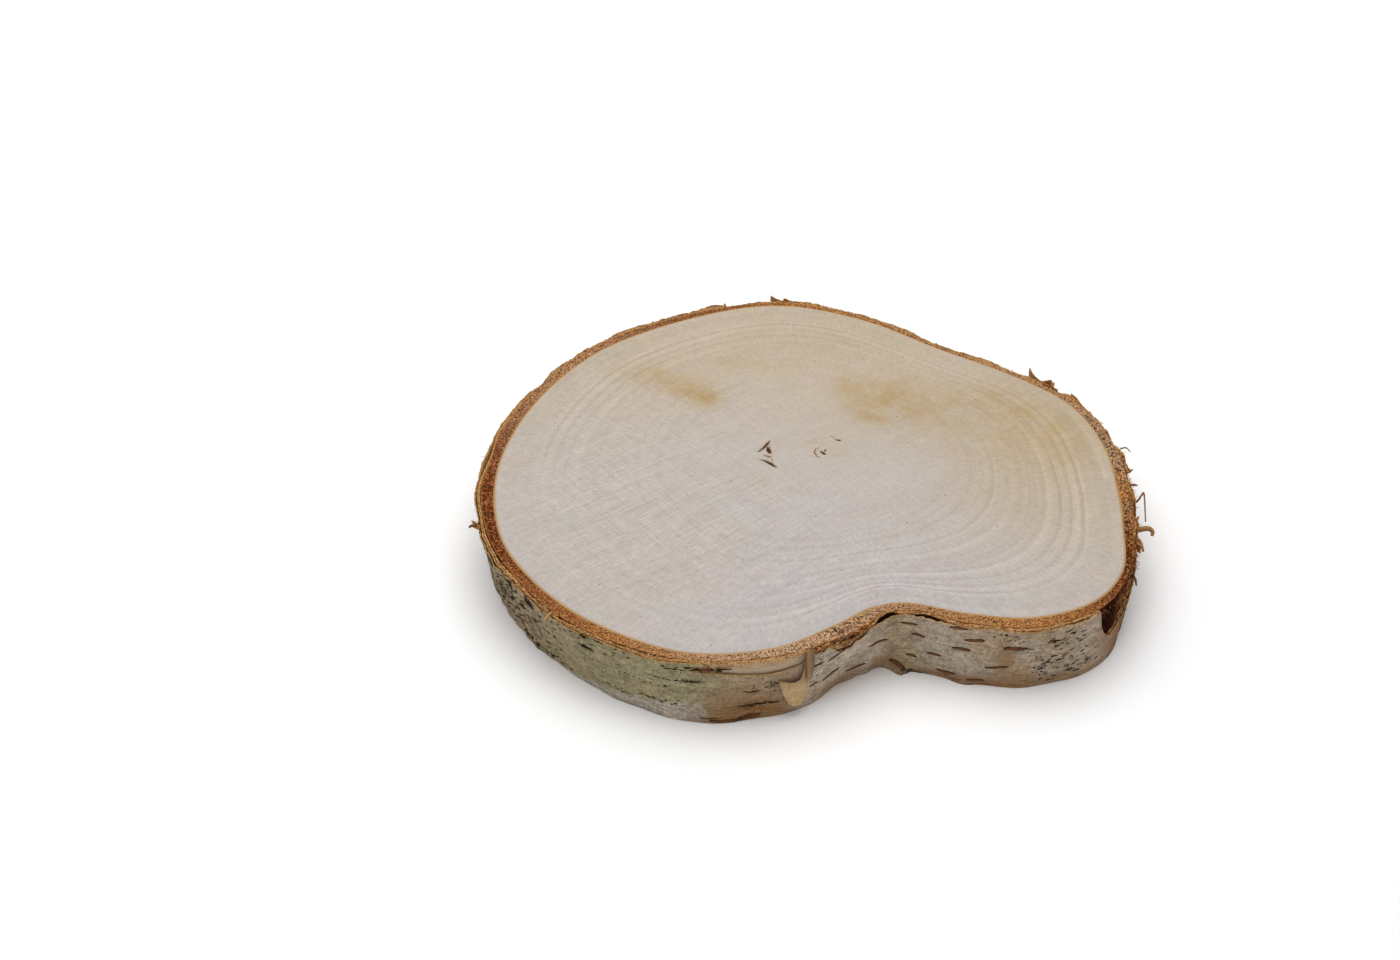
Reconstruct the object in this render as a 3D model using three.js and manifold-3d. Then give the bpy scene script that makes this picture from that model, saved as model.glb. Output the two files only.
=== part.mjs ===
// A sawn slice of birch, cut where a stem begins to fork: pale wood, the brown granular inner bark round
// it, and the thin papery outer bark with lenticels, cracks, torn edges and curls. It lies on its lower
// sawn face. Millimetres, +Z up. The origin is the middle of the slice's box, at the lower face.
import * as THREE from "three";
import { mergeVertices } from "three/addons/utils/BufferGeometryUtils.js";
import Module from "manifold-3d";

const wasm = await Module();
wasm.setup();

// Driving dimensions
const THICKNESS = 22; // between the sawn faces
const PAPER = 1.3; // thickness of the outer bark
const GAP = 0.3; // kept between the three layers
const FLOOR_GAP = 0.2; // what grows from the bark stays this far inside the two sawn planes
const DEEPEST = 0.7; // how far a root or a crack may reach below the outer bark's mean surface
const FACETS = 236; // steps round the slice
const PAPER_ROWS = [1, 0.9, 0.68, 0.45, 0.22, 0.04, 0]; // heights of the outer bark's rows, as shares

// Stations round the slice, anticlockwise from the right: x and y of the wood's edge, the thickness of the
// bark there, and how far the bark leans in at the lower face.
const STATIONS = [
  [93.5, -10, 3.6, 1],
  [91, 10, 4.2, 0.5],
  [82, 31, 3.4, 0],
  [65, 46, 2.8, 0],
  [44, 59, 2.6, 0],
  [20, 74.5, 3, 0],
  [-6, 82, 3, 0],
  [-34, 76.5, 2.8, 0],
  [-61, 60, 4, 0.5],
  [-81, 34, 4.8, 1.5],
  [-91.5, 3, 5.4, 3.5],
  [-90.5, -26, 5.6, 4],
  [-81, -47, 5.2, 3.6],
  [-63, -66, 5, 2.6],
  [-37, -79, 4, -0.6],
  [-12, -78, 4.3, 0],
  [6, -68.5, 6.2, 2.4],
  [17, -61, 6, 2],
  [28, -59, 4.6, 0],
  [45, -63.5, 5, 0],
  [63, -65, 5.2, 0],
  [80, -58.5, 4.4, 0.4],
  [90, -45, 3, 1.6],
  [93, -27, 3.4, 2.2],
];

// The places below are distances along the wood's edge from the first station, anticlockwise, and heights.

// Where the outer bark's upper edge is torn down: [place, half width, depth of the tear].
const TEARS = [
  [509, 4.5, 12],
  [427, 8, 3.4],
  [418, 4, 1.4],
  [520, 6, 3.2],
  [534, 5, 1.8],
  [549, 6, 2.6],
  [8, 6, 1.6],
  [24, 5, 2.2],
  [52, 5, 1.2],
  [160, 6, 1],
  [232, 7, 1.4],
  [300, 5, 1.2],
];
// Where the outer bark stands off the inner bark: [place, half width, width of the crevice at the top].
const CREVICES = [
  [441, 9, 2.4],
  [272, 12, 1.1],
];
// Lenticels in plain view: [place, height, length, height of the mark].
const LENTICELS = [
  [451.3, 18.8, 6.8, 1],
  [454.6, 14.2, 5, 1.1],
  [452.6, 6.2, 4.6, 1.1],
  [459.8, 8.5, 5, 1.1],
  [463.5, 2.6, 5.8, 1.3],
  [466, 20.9, 5, 1],
  [470.6, 17, 6.4, 1.3],
  [467.2, 13, 5.6, 1.5],
  [481.4, 14.8, 7.2, 1.3],
  [477, 7.5, 6.8, 1.2],
  [439.6, 12.8, 7.4, 1],
  [432.6, 4.8, 6.8, 1.2],
  [423.6, 15.8, 6, 0.8],
  [418, 15.8, 4, 0.8],
  [423.2, 8.2, 6, 0.9],
  [447.2, 2.2, 5.4, 1.8],
  [471.6, 1.8, 5.4, 0.9],
  [493, 16.8, 8.4, 1.2],
  [387, 19.2, 9, 1.7],
  [378.6, 15.2, 6, 1],
  [358.8, 20.2, 4, 1.2],
  [353.6, 20, 4, 1.3],
  [354, 16.3, 6, 1.2],
  [362.4, 18.2, 2.2, 1.1],
  [372, 11.8, 12, 0.9],
  [362, 4.6, 5.6, 0.9],
  [377.6, 5.8, 7, 1.1],
  [400.2, 10.8, 3.4, 1],
  [401.2, 5, 9, 1],
  [395, 1.6, 7, 0.9],
];
// Stretches of the bark out of that view, each filled by the seeded rule: [from, to, number of lenticels].
const LENTICEL_STRETCHES = [
  [8, 150, 19],
  [150, 300, 18],
  [300, 345, 4],
  [515, 552, 4],
];
const LENTICEL_RISE = 0.45; // how far a lenticel stands out
const LENTICEL_ROOT = 0.55; // how far it is sunk in
// Cracks in the rough bark on the left: [place and height of one end, of the other end, width].
const CRACKS = [
  [330.2, 19.4, 333.4, 15.4, 1.3],
  [319.6, 19.6, 323.4, 16, 1.1],
  [311.6, 18.6, 309.4, 12.4, 1.2],
  [316, 14, 318.6, 9.8, 1],
  [324.4, 13.4, 326.6, 9.6, 0.9],
  [304, 15, 302.4, 9, 1.1],
  [298.6, 12, 296.4, 5, 1.1],
  [289, 18, 287.6, 10.6, 1.2],
  [334.6, 8.8, 337.4, 5.4, 0.9],
];
const CRACK_DEPTH = 0.7;
// Curls of peeling bark: [place of the root, height of the middle, length, height, turn in degrees,
// thickness]. The sign of the length says which way round the slice the curl runs from its root.
const CURLS = [
  [53, 18, 10, 7, 34, 0.8],
  [59, 18.8, -4.5, 5, 95, 0.7],
  [40, 18.6, 8, 6, 30, 0.7],
  [14, 17.6, -4, 6, 80, 0.7],
  [143.5, 19.8, 6.5, 3.6, 30, 0.7],
  [163, 19.6, 6.5, 3.4, 26, 0.7],
  [196, 14, 8, 9, 110, 0.7],
  [236, 16, -7, 8, 130, 0.8],
  [262, 10, 6, 7, 90, 0.7],
  [300.4, 19.6, -4.6, 3, 60, 0.8],
  [448.6, 2.4, 4.6, 4.2, 75, 0.7],
  [468.6, 1.2, -5, 2, 40, 0.7],
  [431, 1.9, 4.4, 2.6, 45, 0.7],
  [519, 14, 4.5, 9, 70, 0.7],
];
// Shreds and threads of the torn outer bark: place, height and thickness, then points as [along, up, out].
const SHREDS = [
  [554.6, 19.6, 0.8, [0, 0, -0.6], [0.6, 0.8, 0.8], [2, 1.4, 1.9], [2.6, 1.2, 2.8], [-7, -0.6, 2.6]],
  [542.8, 19.8, 1.4, [0, 0, -0.6], [0.3, 0.4, 1.4], [0.3, 0.6, 3], [-0.4, 0.2, 4.2], [-1.2, -0.6, 4.4]],
  [539.4, 19.4, 1.3, [0, 0, -0.6], [-0.8, 0, 0.8], [-3, -0.4, 1.8], [-5.4, -0.8, 2.4]],
  [530, 13.4, 1, [0, 0, -0.6], [-0.4, -0.6, 0.8], [-1.2, -2.4, 1.5]],
  [514.8, 18.6, 0.9, [0, 0, -0.6], [-0.2, 0.4, 0.6], [-0.6, 0.6, 1.3]],
  [20.5, 19.8, 0.7, [0, 0, -0.6], [0.2, 0.6, 0.9], [-0.6, 1.2, 2], [-2.4, 1.2, 2.4]],
  [10.4, 20, 0.9, [0, 0, -0.6], [0.3, 0.4, 0.7], [0.8, 0.6, 1.5]],
  [4.8, 20, 0.9, [0, 0, -0.6], [-0.2, 0.4, 0.9], [-0.6, 0.4, 1.9]],
  [163.4, 20.2, 0.9, [0, 0, -0.6], [0, 0.5, 0.5], [-0.3, 0.9, 1.2]],
  [338.8, 20.2, 0.9, [0, 0, -0.5], [0.2, -1, 0.5], [0.6, -2.6, 0.9], [0.4, -4, 1]],
  [297.6, 19.6, 1.3, [0, 0, -0.6], [0.3, 0.2, 1], [0.5, 0.4, 2]],
];
const SHRED_SIDES = 5;
const SHRED_STEPS = 9;
// The strip that has peeled off the front and hangs from its fold, its inner side outwards.
const HINGE = { at: 415, half: 0.55, stand: 1.5, low: 6.5 };
const TONGUE = { at: 411.4, high: 13.2, low: 4.4, width: 7.2, tip: 3.2, thickness: 0.8, near: 0.5, far: 2.6 };
// Checks in the wood at the pith, each a narrow pit: [x, y, length, width, turn in degrees].
const CHECKS = [
  [-12.4, 8.6, 6.4, 1.5, 74],
  [-13.2, 6.2, 4.4, 1.1, -8],
  [-12.2, 3.6, 4.6, 1.3, -34],
  [4.6, 8.4, 2.4, 1.3, 10],
  [10.2, 11.6, 2, 0.9, -20],
];
const CHECK_DEPTH = 1.6;

// The same pseudo-random numbers on each run, from 0 to 1.
function seeded(seed) {
  let state = seed;
  return () => {
    state = (state * 1664525 + 1013904223) % 4294967296;
    return state / 4294967296;
  };
}

// The wood's edge, and the bark's thickness and lean along it
const edge = new THREE.CatmullRomCurve3(
  STATIONS.map(([x, y]) => new THREE.Vector3(x, y, 0)),
  true,
  "catmullrom",
  0.5,
);
const bark = new THREE.CatmullRomCurve3(
  STATIONS.map(([, , thickness, lean]) => new THREE.Vector3(thickness, lean, 0)),
  true,
  "catmullrom",
  0.5,
);
edge.arcLengthDivisions = 2400;
const PERIMETER = edge.getLength();

// A smooth bump of height 1 at a place on the edge, falling to 0 at its half width.
function bump(place, centre, half) {
  const round = ((place - centre + 1.5 * PERIMETER) % PERIMETER) - PERIMETER / 2;
  const share = Math.min(1, Math.abs(round) / half);
  return (1 - share * share) ** 2;
}

const sumOf = (list, place) => list.reduce((sum, [at, half, size]) => sum + size * bump(place, at, half), 0);

// What the edge is like at a place: its point, outward normal, the bark's thickness and its lean.
function stationAt(place) {
  const share = (((place / PERIMETER) % 1) + 1) % 1;
  const t = edge.getUtoTmapping(share);
  const point = edge.getPoint(t);
  const along = edge.getTangent(t);
  const [thickness, lean] = bark.getPoint(t).toArray();
  return { point, along, normal: new THREE.Vector3(along.y, -along.x, 0), thickness, lean };
}

// A point off the edge, so far out along its normal, at a height. The lean draws it in lower down.
function offEdge(station, out, height) {
  const drawn = station.lean * (1 - height / THICKNESS);
  const point = station.point.clone().addScaledVector(station.normal, out - drawn);
  point.z = height;
  return point;
}

// Slow waves and small knobs of the outer bark's surface.
function relief(place, height) {
  const turn = (place / PERIMETER) * 2 * Math.PI;
  const waves = 0.22 * Math.sin(19 * turn + 0.16 * height) + 0.16 * Math.sin(37 * turn - 0.3 * height + 1.3);
  const rough = 0.2 * bump(place, 318, 38) * Math.sin(101 * turn + 0.9 * height);
  return waves + rough;
}

const crevice = (place, height) => sumOf(CREVICES, place) * (height / THICKNESS) ** 1.5;
const innerFace = (station, place) => station.thickness - PAPER - sumOf(CREVICES, place);

// Where the outer bark's outer surface is, plus a distance out of it.
function onBark(place, height, out) {
  const station = stationAt(place);
  const shut = sumOf(CREVICES, place) - crevice(place, height);
  return offEdge(station, station.thickness - shut + relief(place, height) + out, height);
}

// A point of a growth or a crack, which never goes deep enough to reach the inner bark
function rooted(place, height, out) {
  return onBark(place, height, Math.max(out, -DEEPEST - relief(place, height)));
}

// A geometry from its points and its triangles
function indexed(position, index) {
  const geometry = new THREE.BufferGeometry();
  geometry.setAttribute("position", new THREE.BufferAttribute(position, 3));
  geometry.setIndex(index);
  return geometry;
}

// A closed solid through rings of points. Each ring is a closed section, and the last joins the first.
function ringSolid(sections) {
  const count = sections[0].length;
  const position = new Float32Array(sections.flat().flatMap((p) => p.toArray()));
  const index = [];
  sections.forEach((_, i) => {
    const next = (i + 1) % sections.length;
    for (let j = 0; j < count; j++) {
      const k = (j + 1) % count;
      const [a, b, c, d] = [i * count + j, next * count + j, next * count + k, i * count + k];
      index.push(a, b, c, a, c, d);
    }
  });
  return indexed(position, index);
}

// The places of the facets round the slice
const PLACES = Array.from({ length: FACETS }, (_, i) => (i / FACETS) * PERIMETER);

// The wood: a prism between its edge on the upper sawn face and its edge on the lower one
function woodGeometry() {
  const ringAt = (height) => PLACES.map((place) => offEdge(stationAt(place), -GAP / 2, height));
  const [lower, upper] = [ringAt(0), ringAt(THICKNESS)];
  const index = [];
  for (const [a, b, c] of THREE.ShapeUtils.triangulateShape(lower, [])) index.push(a, c, b);
  for (const face of THREE.ShapeUtils.triangulateShape(upper, [])) index.push(...face.map((i) => i + FACETS));
  for (let i = 0; i < FACETS; i++) {
    const next = (i + 1) % FACETS;
    index.push(i, next, next + FACETS, i, next + FACETS, i + FACETS);
  }
  const position = new Float32Array([...lower, ...upper].flatMap((p) => p.toArray()));
  return indexed(position, index);
}

// The inner bark: a ring whose upper face is grainy
function innerBarkGeometry() {
  const grain = seeded(11);
  return ringSolid(
    PLACES.map((place) => {
      const station = stationAt(place);
      const [near, far] = [GAP / 2, innerFace(station, place) - GAP / 2];
      return [
        offEdge(station, near, 0),
        offEdge(station, near, THICKNESS - 0.1),
        offEdge(station, (near + far) / 2, THICKNESS - 0.5 * grain()),
        offEdge(station, far, THICKNESS - 0.2 - 0.4 * grain()),
        offEdge(station, far - 0.15 * grain(), THICKNESS / 2),
        offEdge(station, far, 0),
      ];
    }),
  );
}

// The outer bark: a thin ring, torn along its upper edge
function outerBarkGeometry() {
  const ragged = seeded(23);
  return ringSolid(
    PLACES.map((place) => {
      const top = THICKNESS - sumOf(TEARS, place) - 0.5 * ragged();
      const inside = (share) => onBark(place, share * top, -PAPER - relief(place, share * top) + GAP / 2);
      const outside = PAPER_ROWS.map((share) => onBark(place, share * top, share === 1 ? -0.25 : 0));
      return [inside(0), inside(0.5), inside(1), ...outside];
    }),
  );
}

// Places a geometry whose x runs along the bark, y up and z out of it, root at the given place and height.
function layOnBark(geometry, place, height) {
  const position = geometry.attributes.position;
  for (let i = 0; i < position.count; i++) {
    const up = THREE.MathUtils.clamp(height + position.getY(i), FLOOR_GAP, THICKNESS - FLOOR_GAP);
    const laid = rooted(place + position.getX(i), up, position.getZ(i));
    position.setXYZ(i, ...laid.toArray());
  }
  return geometry;
}

// One lenticel: a slim spindle, sunk into the bark
function lenticelGeometry([place, height, length, tall]) {
  const spindle = new THREE.OctahedronGeometry(1);
  spindle.scale(length / 2, tall / 2, (LENTICEL_RISE + LENTICEL_ROOT) / 2);
  spindle.translate(0, 0, (LENTICEL_RISE - LENTICEL_ROOT) / 2);
  return layOnBark(spindle, place, height);
}

// The lenticels of the stretches out of view, spread evenly and jittered
function ruledLenticels() {
  const draw = seeded(5);
  return LENTICEL_STRETCHES.flatMap(([from, to, count]) =>
    Array.from({ length: count }, (_, i) => {
      const length = 3.6 + 4.4 * draw();
      const place = from + ((i + 0.3 + 0.4 * draw()) / count) * (to - from);
      const height = 1.8 + ((i * 0.382 + 0.12 * draw()) % 1) * (THICKNESS - 5.4);
      return [place, height, length, 0.9 + 0.5 * draw()];
    }),
  );
}

// One crack: a narrow spindle that is cut out of the bark
function crackGeometry([fromPlace, fromHeight, toPlace, toHeight, width]) {
  const [along, up] = [toPlace - fromPlace, toHeight - fromHeight];
  const spindle = new THREE.OctahedronGeometry(1);
  spindle.scale(Math.hypot(along, up) / 2, width / 2, CRACK_DEPTH);
  spindle.rotateZ(Math.atan2(up, along));
  return layOnBark(spindle, (fromPlace + toPlace) / 2, (fromHeight + toHeight) / 2);
}

// One curl: a blade that leaves the bark along it and turns away on an arc, narrowing to its tip
function curlGeometry([place, height, length, tall, turn, thickness]) {
  const blade = new THREE.BoxGeometry(1, 1, 1, 7, 2, 1);
  const position = blade.attributes.position;
  const angle = THREE.MathUtils.degToRad(Math.abs(turn));
  const radius = Math.abs(length) / angle;
  const root = 0.75; // depth of the blade's start below the bark's surface
  for (let i = 0; i < position.count; i++) {
    const share = position.getX(i) + 0.5;
    const side = position.getY(i);
    const skin = position.getZ(i) * thickness;
    const phi = angle * share;
    const along = Math.sign(length) * (radius * Math.sin(phi) - skin * Math.sin(phi));
    const out = radius * (1 - Math.cos(phi)) + skin * Math.cos(phi) - root;
    const up = side * tall * (1 - 0.45 * share ** 2) + 0.25 * Math.sin(5 * share + 4 * side);
    position.setXYZ(i, along, up, out);
  }
  if (length < 0) blade.setIndex(Array.from(blade.index.array).reverse());
  return layOnBark(blade, place, height);
}

// One shred: a thin rod along a bent path, its root in the bark
function shredGeometry([place, height, thickness, ...points]) {
  const laid = points.map(([along, up, out]) => rooted(place + along, height + up, out));
  const path = new THREE.CatmullRomCurve3(laid);
  const section = new THREE.Shape(
    Array.from({ length: SHRED_SIDES }, (_, i) => {
      const angle = (2 * Math.PI * i) / SHRED_SIDES;
      return new THREE.Vector2((thickness / 2) * Math.cos(angle), (thickness / 2) * Math.sin(angle));
    }),
  );
  return new THREE.ExtrudeGeometry(section, { steps: SHRED_STEPS, extrudePath: path });
}

// The fold from which the peeled strip hangs: a slim upright ridge
function hingeGeometry() {
  const tall = THICKNESS - 0.8 - HINGE.low;
  const ridge = new THREE.BoxGeometry(2 * HINGE.half, tall, HINGE.stand + 0.6, 1, 4, 1);
  ridge.translate(0, tall / 2, (HINGE.stand - 0.6) / 2);
  return layOnBark(ridge, HINGE.at, HINGE.low);
}

// The hanging tongue of that strip: it narrows to a round tip and stands further out towards it
function tongueGeometry() {
  const blade = new THREE.BoxGeometry(1, 1, 1, 4, 6, 1);
  const position = blade.attributes.position;
  const tall = TONGUE.high - TONGUE.low;
  for (let i = 0; i < position.count; i++) {
    const fall = Math.max(0, 0.5 - position.getY(i));
    const half = THREE.MathUtils.lerp(TONGUE.width, TONGUE.tip, fall ** 1.4) / 2;
    const across = 2 * position.getX(i);
    const droop = tall * fall - 1.1 * across * across * fall ** 3;
    const stand = THREE.MathUtils.lerp(TONGUE.near, TONGUE.far, fall);
    const out = stand + (position.getZ(i) - 0.5) * TONGUE.thickness;
    position.setXYZ(i, across * half, TONGUE.high - droop, out);
  }
  return layOnBark(blade, TONGUE.at, 0);
}

// The short bridge that joins the tongue's upper edge to the bark behind it
function tongueRootGeometry() {
  const root = new THREE.BoxGeometry(TONGUE.width, 1.4, TONGUE.near + 0.7, 3, 1, 1);
  root.translate(0, TONGUE.high - 0.5, (TONGUE.near - 0.7) / 2);
  return layOnBark(root, TONGUE.at, 0);
}

// One check: a narrow pit at the pith, cut from the upper face
function checkGeometry([x, y, length, width, turn]) {
  const pit = new THREE.OctahedronGeometry(1);
  pit.scale(length / 2, width / 2, CHECK_DEPTH);
  pit.rotateZ(THREE.MathUtils.degToRad(turn));
  pit.translate(x, y, THICKNESS);
  return pit;
}

// A geometry as a solid that can be joined and cut
function solidOf(geometry) {
  const bare = geometry.clone();
  bare.deleteAttribute("normal");
  bare.deleteAttribute("uv");
  const merged = mergeVertices(bare, 1e-4);
  const mesh = { numProp: 3, vertProperties: merged.attributes.position.array, triVerts: merged.index.array };
  mesh.triVerts = new Uint32Array(mesh.triVerts);
  const solid = new wasm.Manifold(new wasm.Mesh(mesh));
  if (solid.volume() > 0) return solid;
  mesh.triVerts.reverse();
  return new wasm.Manifold(new wasm.Mesh(mesh));
}

const joined = (body, pieces) => pieces.reduce((sum, piece) => sum.add(solidOf(piece)), body);
const cut = (body, pieces) => pieces.reduce((rest, piece) => rest.subtract(solidOf(piece)), body);

// A named mesh of a solid
function meshOf(name, solid, colour, roughness) {
  const { vertProperties, triVerts, numProp } = solid.getMesh();
  const geometry = new THREE.BufferGeometry();
  geometry.setAttribute("position", new THREE.BufferAttribute(new Float32Array(vertProperties), numProp));
  geometry.setIndex(new THREE.BufferAttribute(new Uint32Array(triVerts), 1));
  geometry.computeVertexNormals();
  const material = new THREE.MeshStandardMaterial({ color: colour, roughness, metalness: 0 });
  const mesh = new THREE.Mesh(geometry, material);
  mesh.name = name;
  return mesh;
}

const wood = cut(solidOf(woodGeometry()), CHECKS.map(checkGeometry));
const innerBark = solidOf(innerBarkGeometry());
const growths = [
  ...[...LENTICELS, ...ruledLenticels()].map(lenticelGeometry),
  ...CURLS.map(curlGeometry),
  ...SHREDS.map(shredGeometry),
  hingeGeometry(),
  tongueGeometry(),
  tongueRootGeometry(),
];
const outerBark = cut(joined(solidOf(outerBarkGeometry()), growths), CRACKS.map(crackGeometry));

const slice = new THREE.Group();
slice.add(
  meshOf("wood", wood, 0xcfc1b0, 0.75),
  meshOf("inner_bark", innerBark, 0x8a4b25, 0.9),
  meshOf("outer_bark", outerBark, 0x9c9484, 0.8),
);

// The slice's box is centred over the origin.
const box = new THREE.Box3().setFromObject(slice);
slice.position.set(-(box.min.x + box.max.x) / 2, -(box.min.y + box.max.y) / 2, 0);

const part = new THREE.Group();
part.add(slice);
export default part;
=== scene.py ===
"""The looks of a sawn birch slice: ringed wood, granular inner bark and papery outer bark, on a pale floor.

Places are distances in millimetres along the wood's edge, anticlockwise from its first station. Heights are
millimetres above the lower sawn face, and "out" is the distance off the edge. Meshes are in metres.
"""
import math

import bpy
import mathutils
import numpy as np
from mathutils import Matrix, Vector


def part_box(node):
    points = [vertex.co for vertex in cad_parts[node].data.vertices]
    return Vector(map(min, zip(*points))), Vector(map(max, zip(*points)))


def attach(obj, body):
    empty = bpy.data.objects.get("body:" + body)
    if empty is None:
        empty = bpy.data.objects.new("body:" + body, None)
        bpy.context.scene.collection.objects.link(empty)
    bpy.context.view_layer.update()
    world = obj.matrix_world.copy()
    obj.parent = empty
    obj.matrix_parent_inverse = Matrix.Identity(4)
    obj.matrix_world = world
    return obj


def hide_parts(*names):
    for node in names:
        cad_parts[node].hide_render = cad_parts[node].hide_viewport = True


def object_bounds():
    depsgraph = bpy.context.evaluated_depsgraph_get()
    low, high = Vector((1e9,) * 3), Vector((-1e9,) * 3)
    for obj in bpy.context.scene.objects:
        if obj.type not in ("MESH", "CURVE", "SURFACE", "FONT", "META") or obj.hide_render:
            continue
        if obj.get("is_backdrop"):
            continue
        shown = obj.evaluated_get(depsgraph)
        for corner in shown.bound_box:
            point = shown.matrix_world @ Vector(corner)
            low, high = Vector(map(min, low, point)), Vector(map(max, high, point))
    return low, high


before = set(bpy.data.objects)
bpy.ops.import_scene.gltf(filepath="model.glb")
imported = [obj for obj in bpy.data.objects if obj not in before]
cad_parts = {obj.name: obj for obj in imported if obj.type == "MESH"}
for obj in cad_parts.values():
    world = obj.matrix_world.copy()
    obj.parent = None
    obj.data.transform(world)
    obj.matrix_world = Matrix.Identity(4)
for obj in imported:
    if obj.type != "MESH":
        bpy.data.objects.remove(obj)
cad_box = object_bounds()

MM = 0.001
BODY = "root"

# The slice's own dimensions
THICKNESS = 22
PAPER = 1.3  # the outer bark's whole thickness
SKIN = 0.34  # its outermost sheet
PITH = (5.6, 8.6)
# Stations round the slice: x and y of the wood's edge, thickness of the bark, lean of the bark lower down
STATIONS = [
    (93.5, -10, 3.6, 1), (91, 10, 4.2, 0.5), (82, 31, 3.4, 0), (65, 46, 2.8, 0), (44, 59, 2.6, 0),
    (20, 74.5, 3, 0), (-6, 82, 3, 0), (-34, 76.5, 2.8, 0), (-61, 60, 4, 0.5), (-81, 34, 4.8, 1.5),
    (-91.5, 3, 5.4, 3.5), (-90.5, -26, 5.6, 4), (-81, -47, 5.2, 3.6), (-63, -66, 5, 2.6),
    (-37, -79, 4, -0.6), (-12, -78, 4.3, 0), (6, -68.5, 6.2, 2.4), (17, -61, 6, 2), (28, -59, 4.6, 0),
    (45, -63.5, 5, 0), (63, -65, 5.2, 0), (80, -58.5, 4.4, 0.4), (90, -45, 3, 1.6), (93, -27, 3.4, 2.2),
]
WOOD_OUT = 0.06  # how far off its outline the wood stops
# Where the ring of inner bark reaches further in: place, half width, by how much
WIDER_RING = [(553, 38, 1.3), (180, 34, 1.1)]
# Where the outer bark's upper edge is torn down: place, half width, depth
TEARS = [
    (427, 8, 3.4), (418, 4, 1.4), (520, 6, 3.2), (534, 5, 1.8), (549, 6, 2.6), (8, 6, 1.6), (24, 5, 2.2),
    (52, 5, 1.2), (160, 6, 1), (232, 7, 1.4), (300, 5, 1.2), (352, 7, 0.5), (372, 9, 0.5),
]
# The deep notch down to the inner bark: its middle and half width, over which the inner bark gets painted
# shade, then places and its depth there
NOTCH = (509, 6)
NOTCH_PLACES = (504.6, 505.4, 507.4, 509.6, 513, 518, 524, 531)
NOTCH_DEPTHS = (0, 7, 11, 13, 12.4, 9, 6, 0)
# Where the outer bark stands off the inner bark: place, half width, width of the crevice at the upper face
CREVICES = [(443, 7, 1.6), (272, 12, 1.1)]
# Where the torn edges are the most ragged: place, half width, how much more than elsewhere
RAGGED = [(427, 12, 2.6), (338, 24, 1), (366, 16, 0.8), (520, 16, 2), (15, 30, 1.6), (470, 14, 0.5)]
# Thin slits between the inner and the outer bark: place, half width, width of the slit
SLITS = [(457, 9, 0.9), (497, 7, 0.4), (180, 20, 0.4), (90, 14, 0.5)]
# Where the papery layers are thicker: place, half width, how much thicker
LAYERED = [(312, 34, 0.8)]
# Where the outer bark flares out at the foot: place, half width, flare, height of the flare
FLARES = [(448, 5.6, 2, 3.6), (468.4, 5, 0.9, 2.4), (431, 4, 0.7, 2.2)]
# Where the whole foot is cut in further: place, half width, depth
UNDERCUTS = [(429, 13, 2.3), (440, 4, 0.6)]
# The strip that is peeled off under the upper edge: places, and how far down it is gone there
STRIP_PLACES = (387, 391, 397, 404, 413, 414.6, 415.2)
STRIP_DEPTHS = (0, 3.4, 4.6, 4.9, 4.4, 3.8, 0)
# Lenticels in plain view: place, height, length, height of the mark, rise towards the right
LENTICELS = [
    (451.3, 18.5, 6.8, 1, -0.1), (454.6, 14.2, 4.8, 1.1, -0.05), (452.6, 6.2, 4.4, 1.1, -0.15),
    (459.8, 8.5, 4.6, 1.1, -0.05), (463.5, 2.6, 5.6, 1.3, -0.02), (466, 20.6, 5, 1, 0),
    (470.6, 16.7, 6, 1.4, 0), (467.2, 12.8, 5.2, 1.5, 0), (481.4, 14.8, 6.6, 1.3, 0),
    (477, 7.4, 6.6, 1.2, 0.05), (439.6, 12.6, 9, 1.1, -0.1), (432.6, 5, 7.2, 1.3, -0.05),
    (424.2, 15.7, 6, 0.8, 0.4), (418, 15.4, 4.2, 0.7, 0.15), (423.6, 8, 6.4, 1, 0.4),
    (447.8, 2.5, 6, 1.9, -0.3), (471.6, 1.8, 5.2, 0.9, 0.05), (400.2, 10.8, 3.4, 0.7, 0),
    (388, 19.4, 3.4, 1.2, 0), (417.2, 8, 3.2, 0.7, 0.1), (393.6, 0.9, 9, 0.7, 0),
    (400, 1.3, 6, 0.5, 0.02), (389, 1.9, 5, 0.4, 0),
]
# Stretches of the bark out of that view, filled by the seeded rule: from, to, number of lenticels
LENTICEL_STRETCHES = [(8, 150, 19), (150, 300, 18), (515, 552, 4)]
LENTICEL_RISE = 0.3
# Dark dots and dashes: from, to, lower and upper height, number, longest
DASHES = [
    (375, 386, 14.6, 15.2, 12, 1.2), (364, 379, 11.2, 12.2, 11, 1.1), (358.6, 365.6, 4, 5.4, 8, 1.1),
    (369, 381, 5.4, 6.5, 11, 1.5), (376, 393, 18.8, 19.8, 12, 1.8), (396, 408, 5.2, 5.8, 10, 1.8),
    (398, 402, 10.4, 11.2, 4, 1.6), (404, 407, 11.2, 13.6, 4, 1.2), (286, 330, 1.4, 20.6, 150, 2.6),
    (326, 345, 1.4, 18, 44, 1.4), (330, 348, 1, 3, 18, 0.9), (345, 368, 16.5, 20.8, 10, 1.6),
    (415, 420, 5.6, 20.2, 11, 0.9), (488, 501, 1.6, 12.4, 30, 2), (490, 500, 12.6, 20.6, 16, 1.8),
    (486, 490.4, 4, 11.8, 16, 0.8), (475.6, 483.6, 16.8, 20, 8, 0.7), (120, 290, 1.4, 20.6, 60, 1.4),
    (520, 557, 1.4, 20, 30, 1.4),
]
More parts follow.
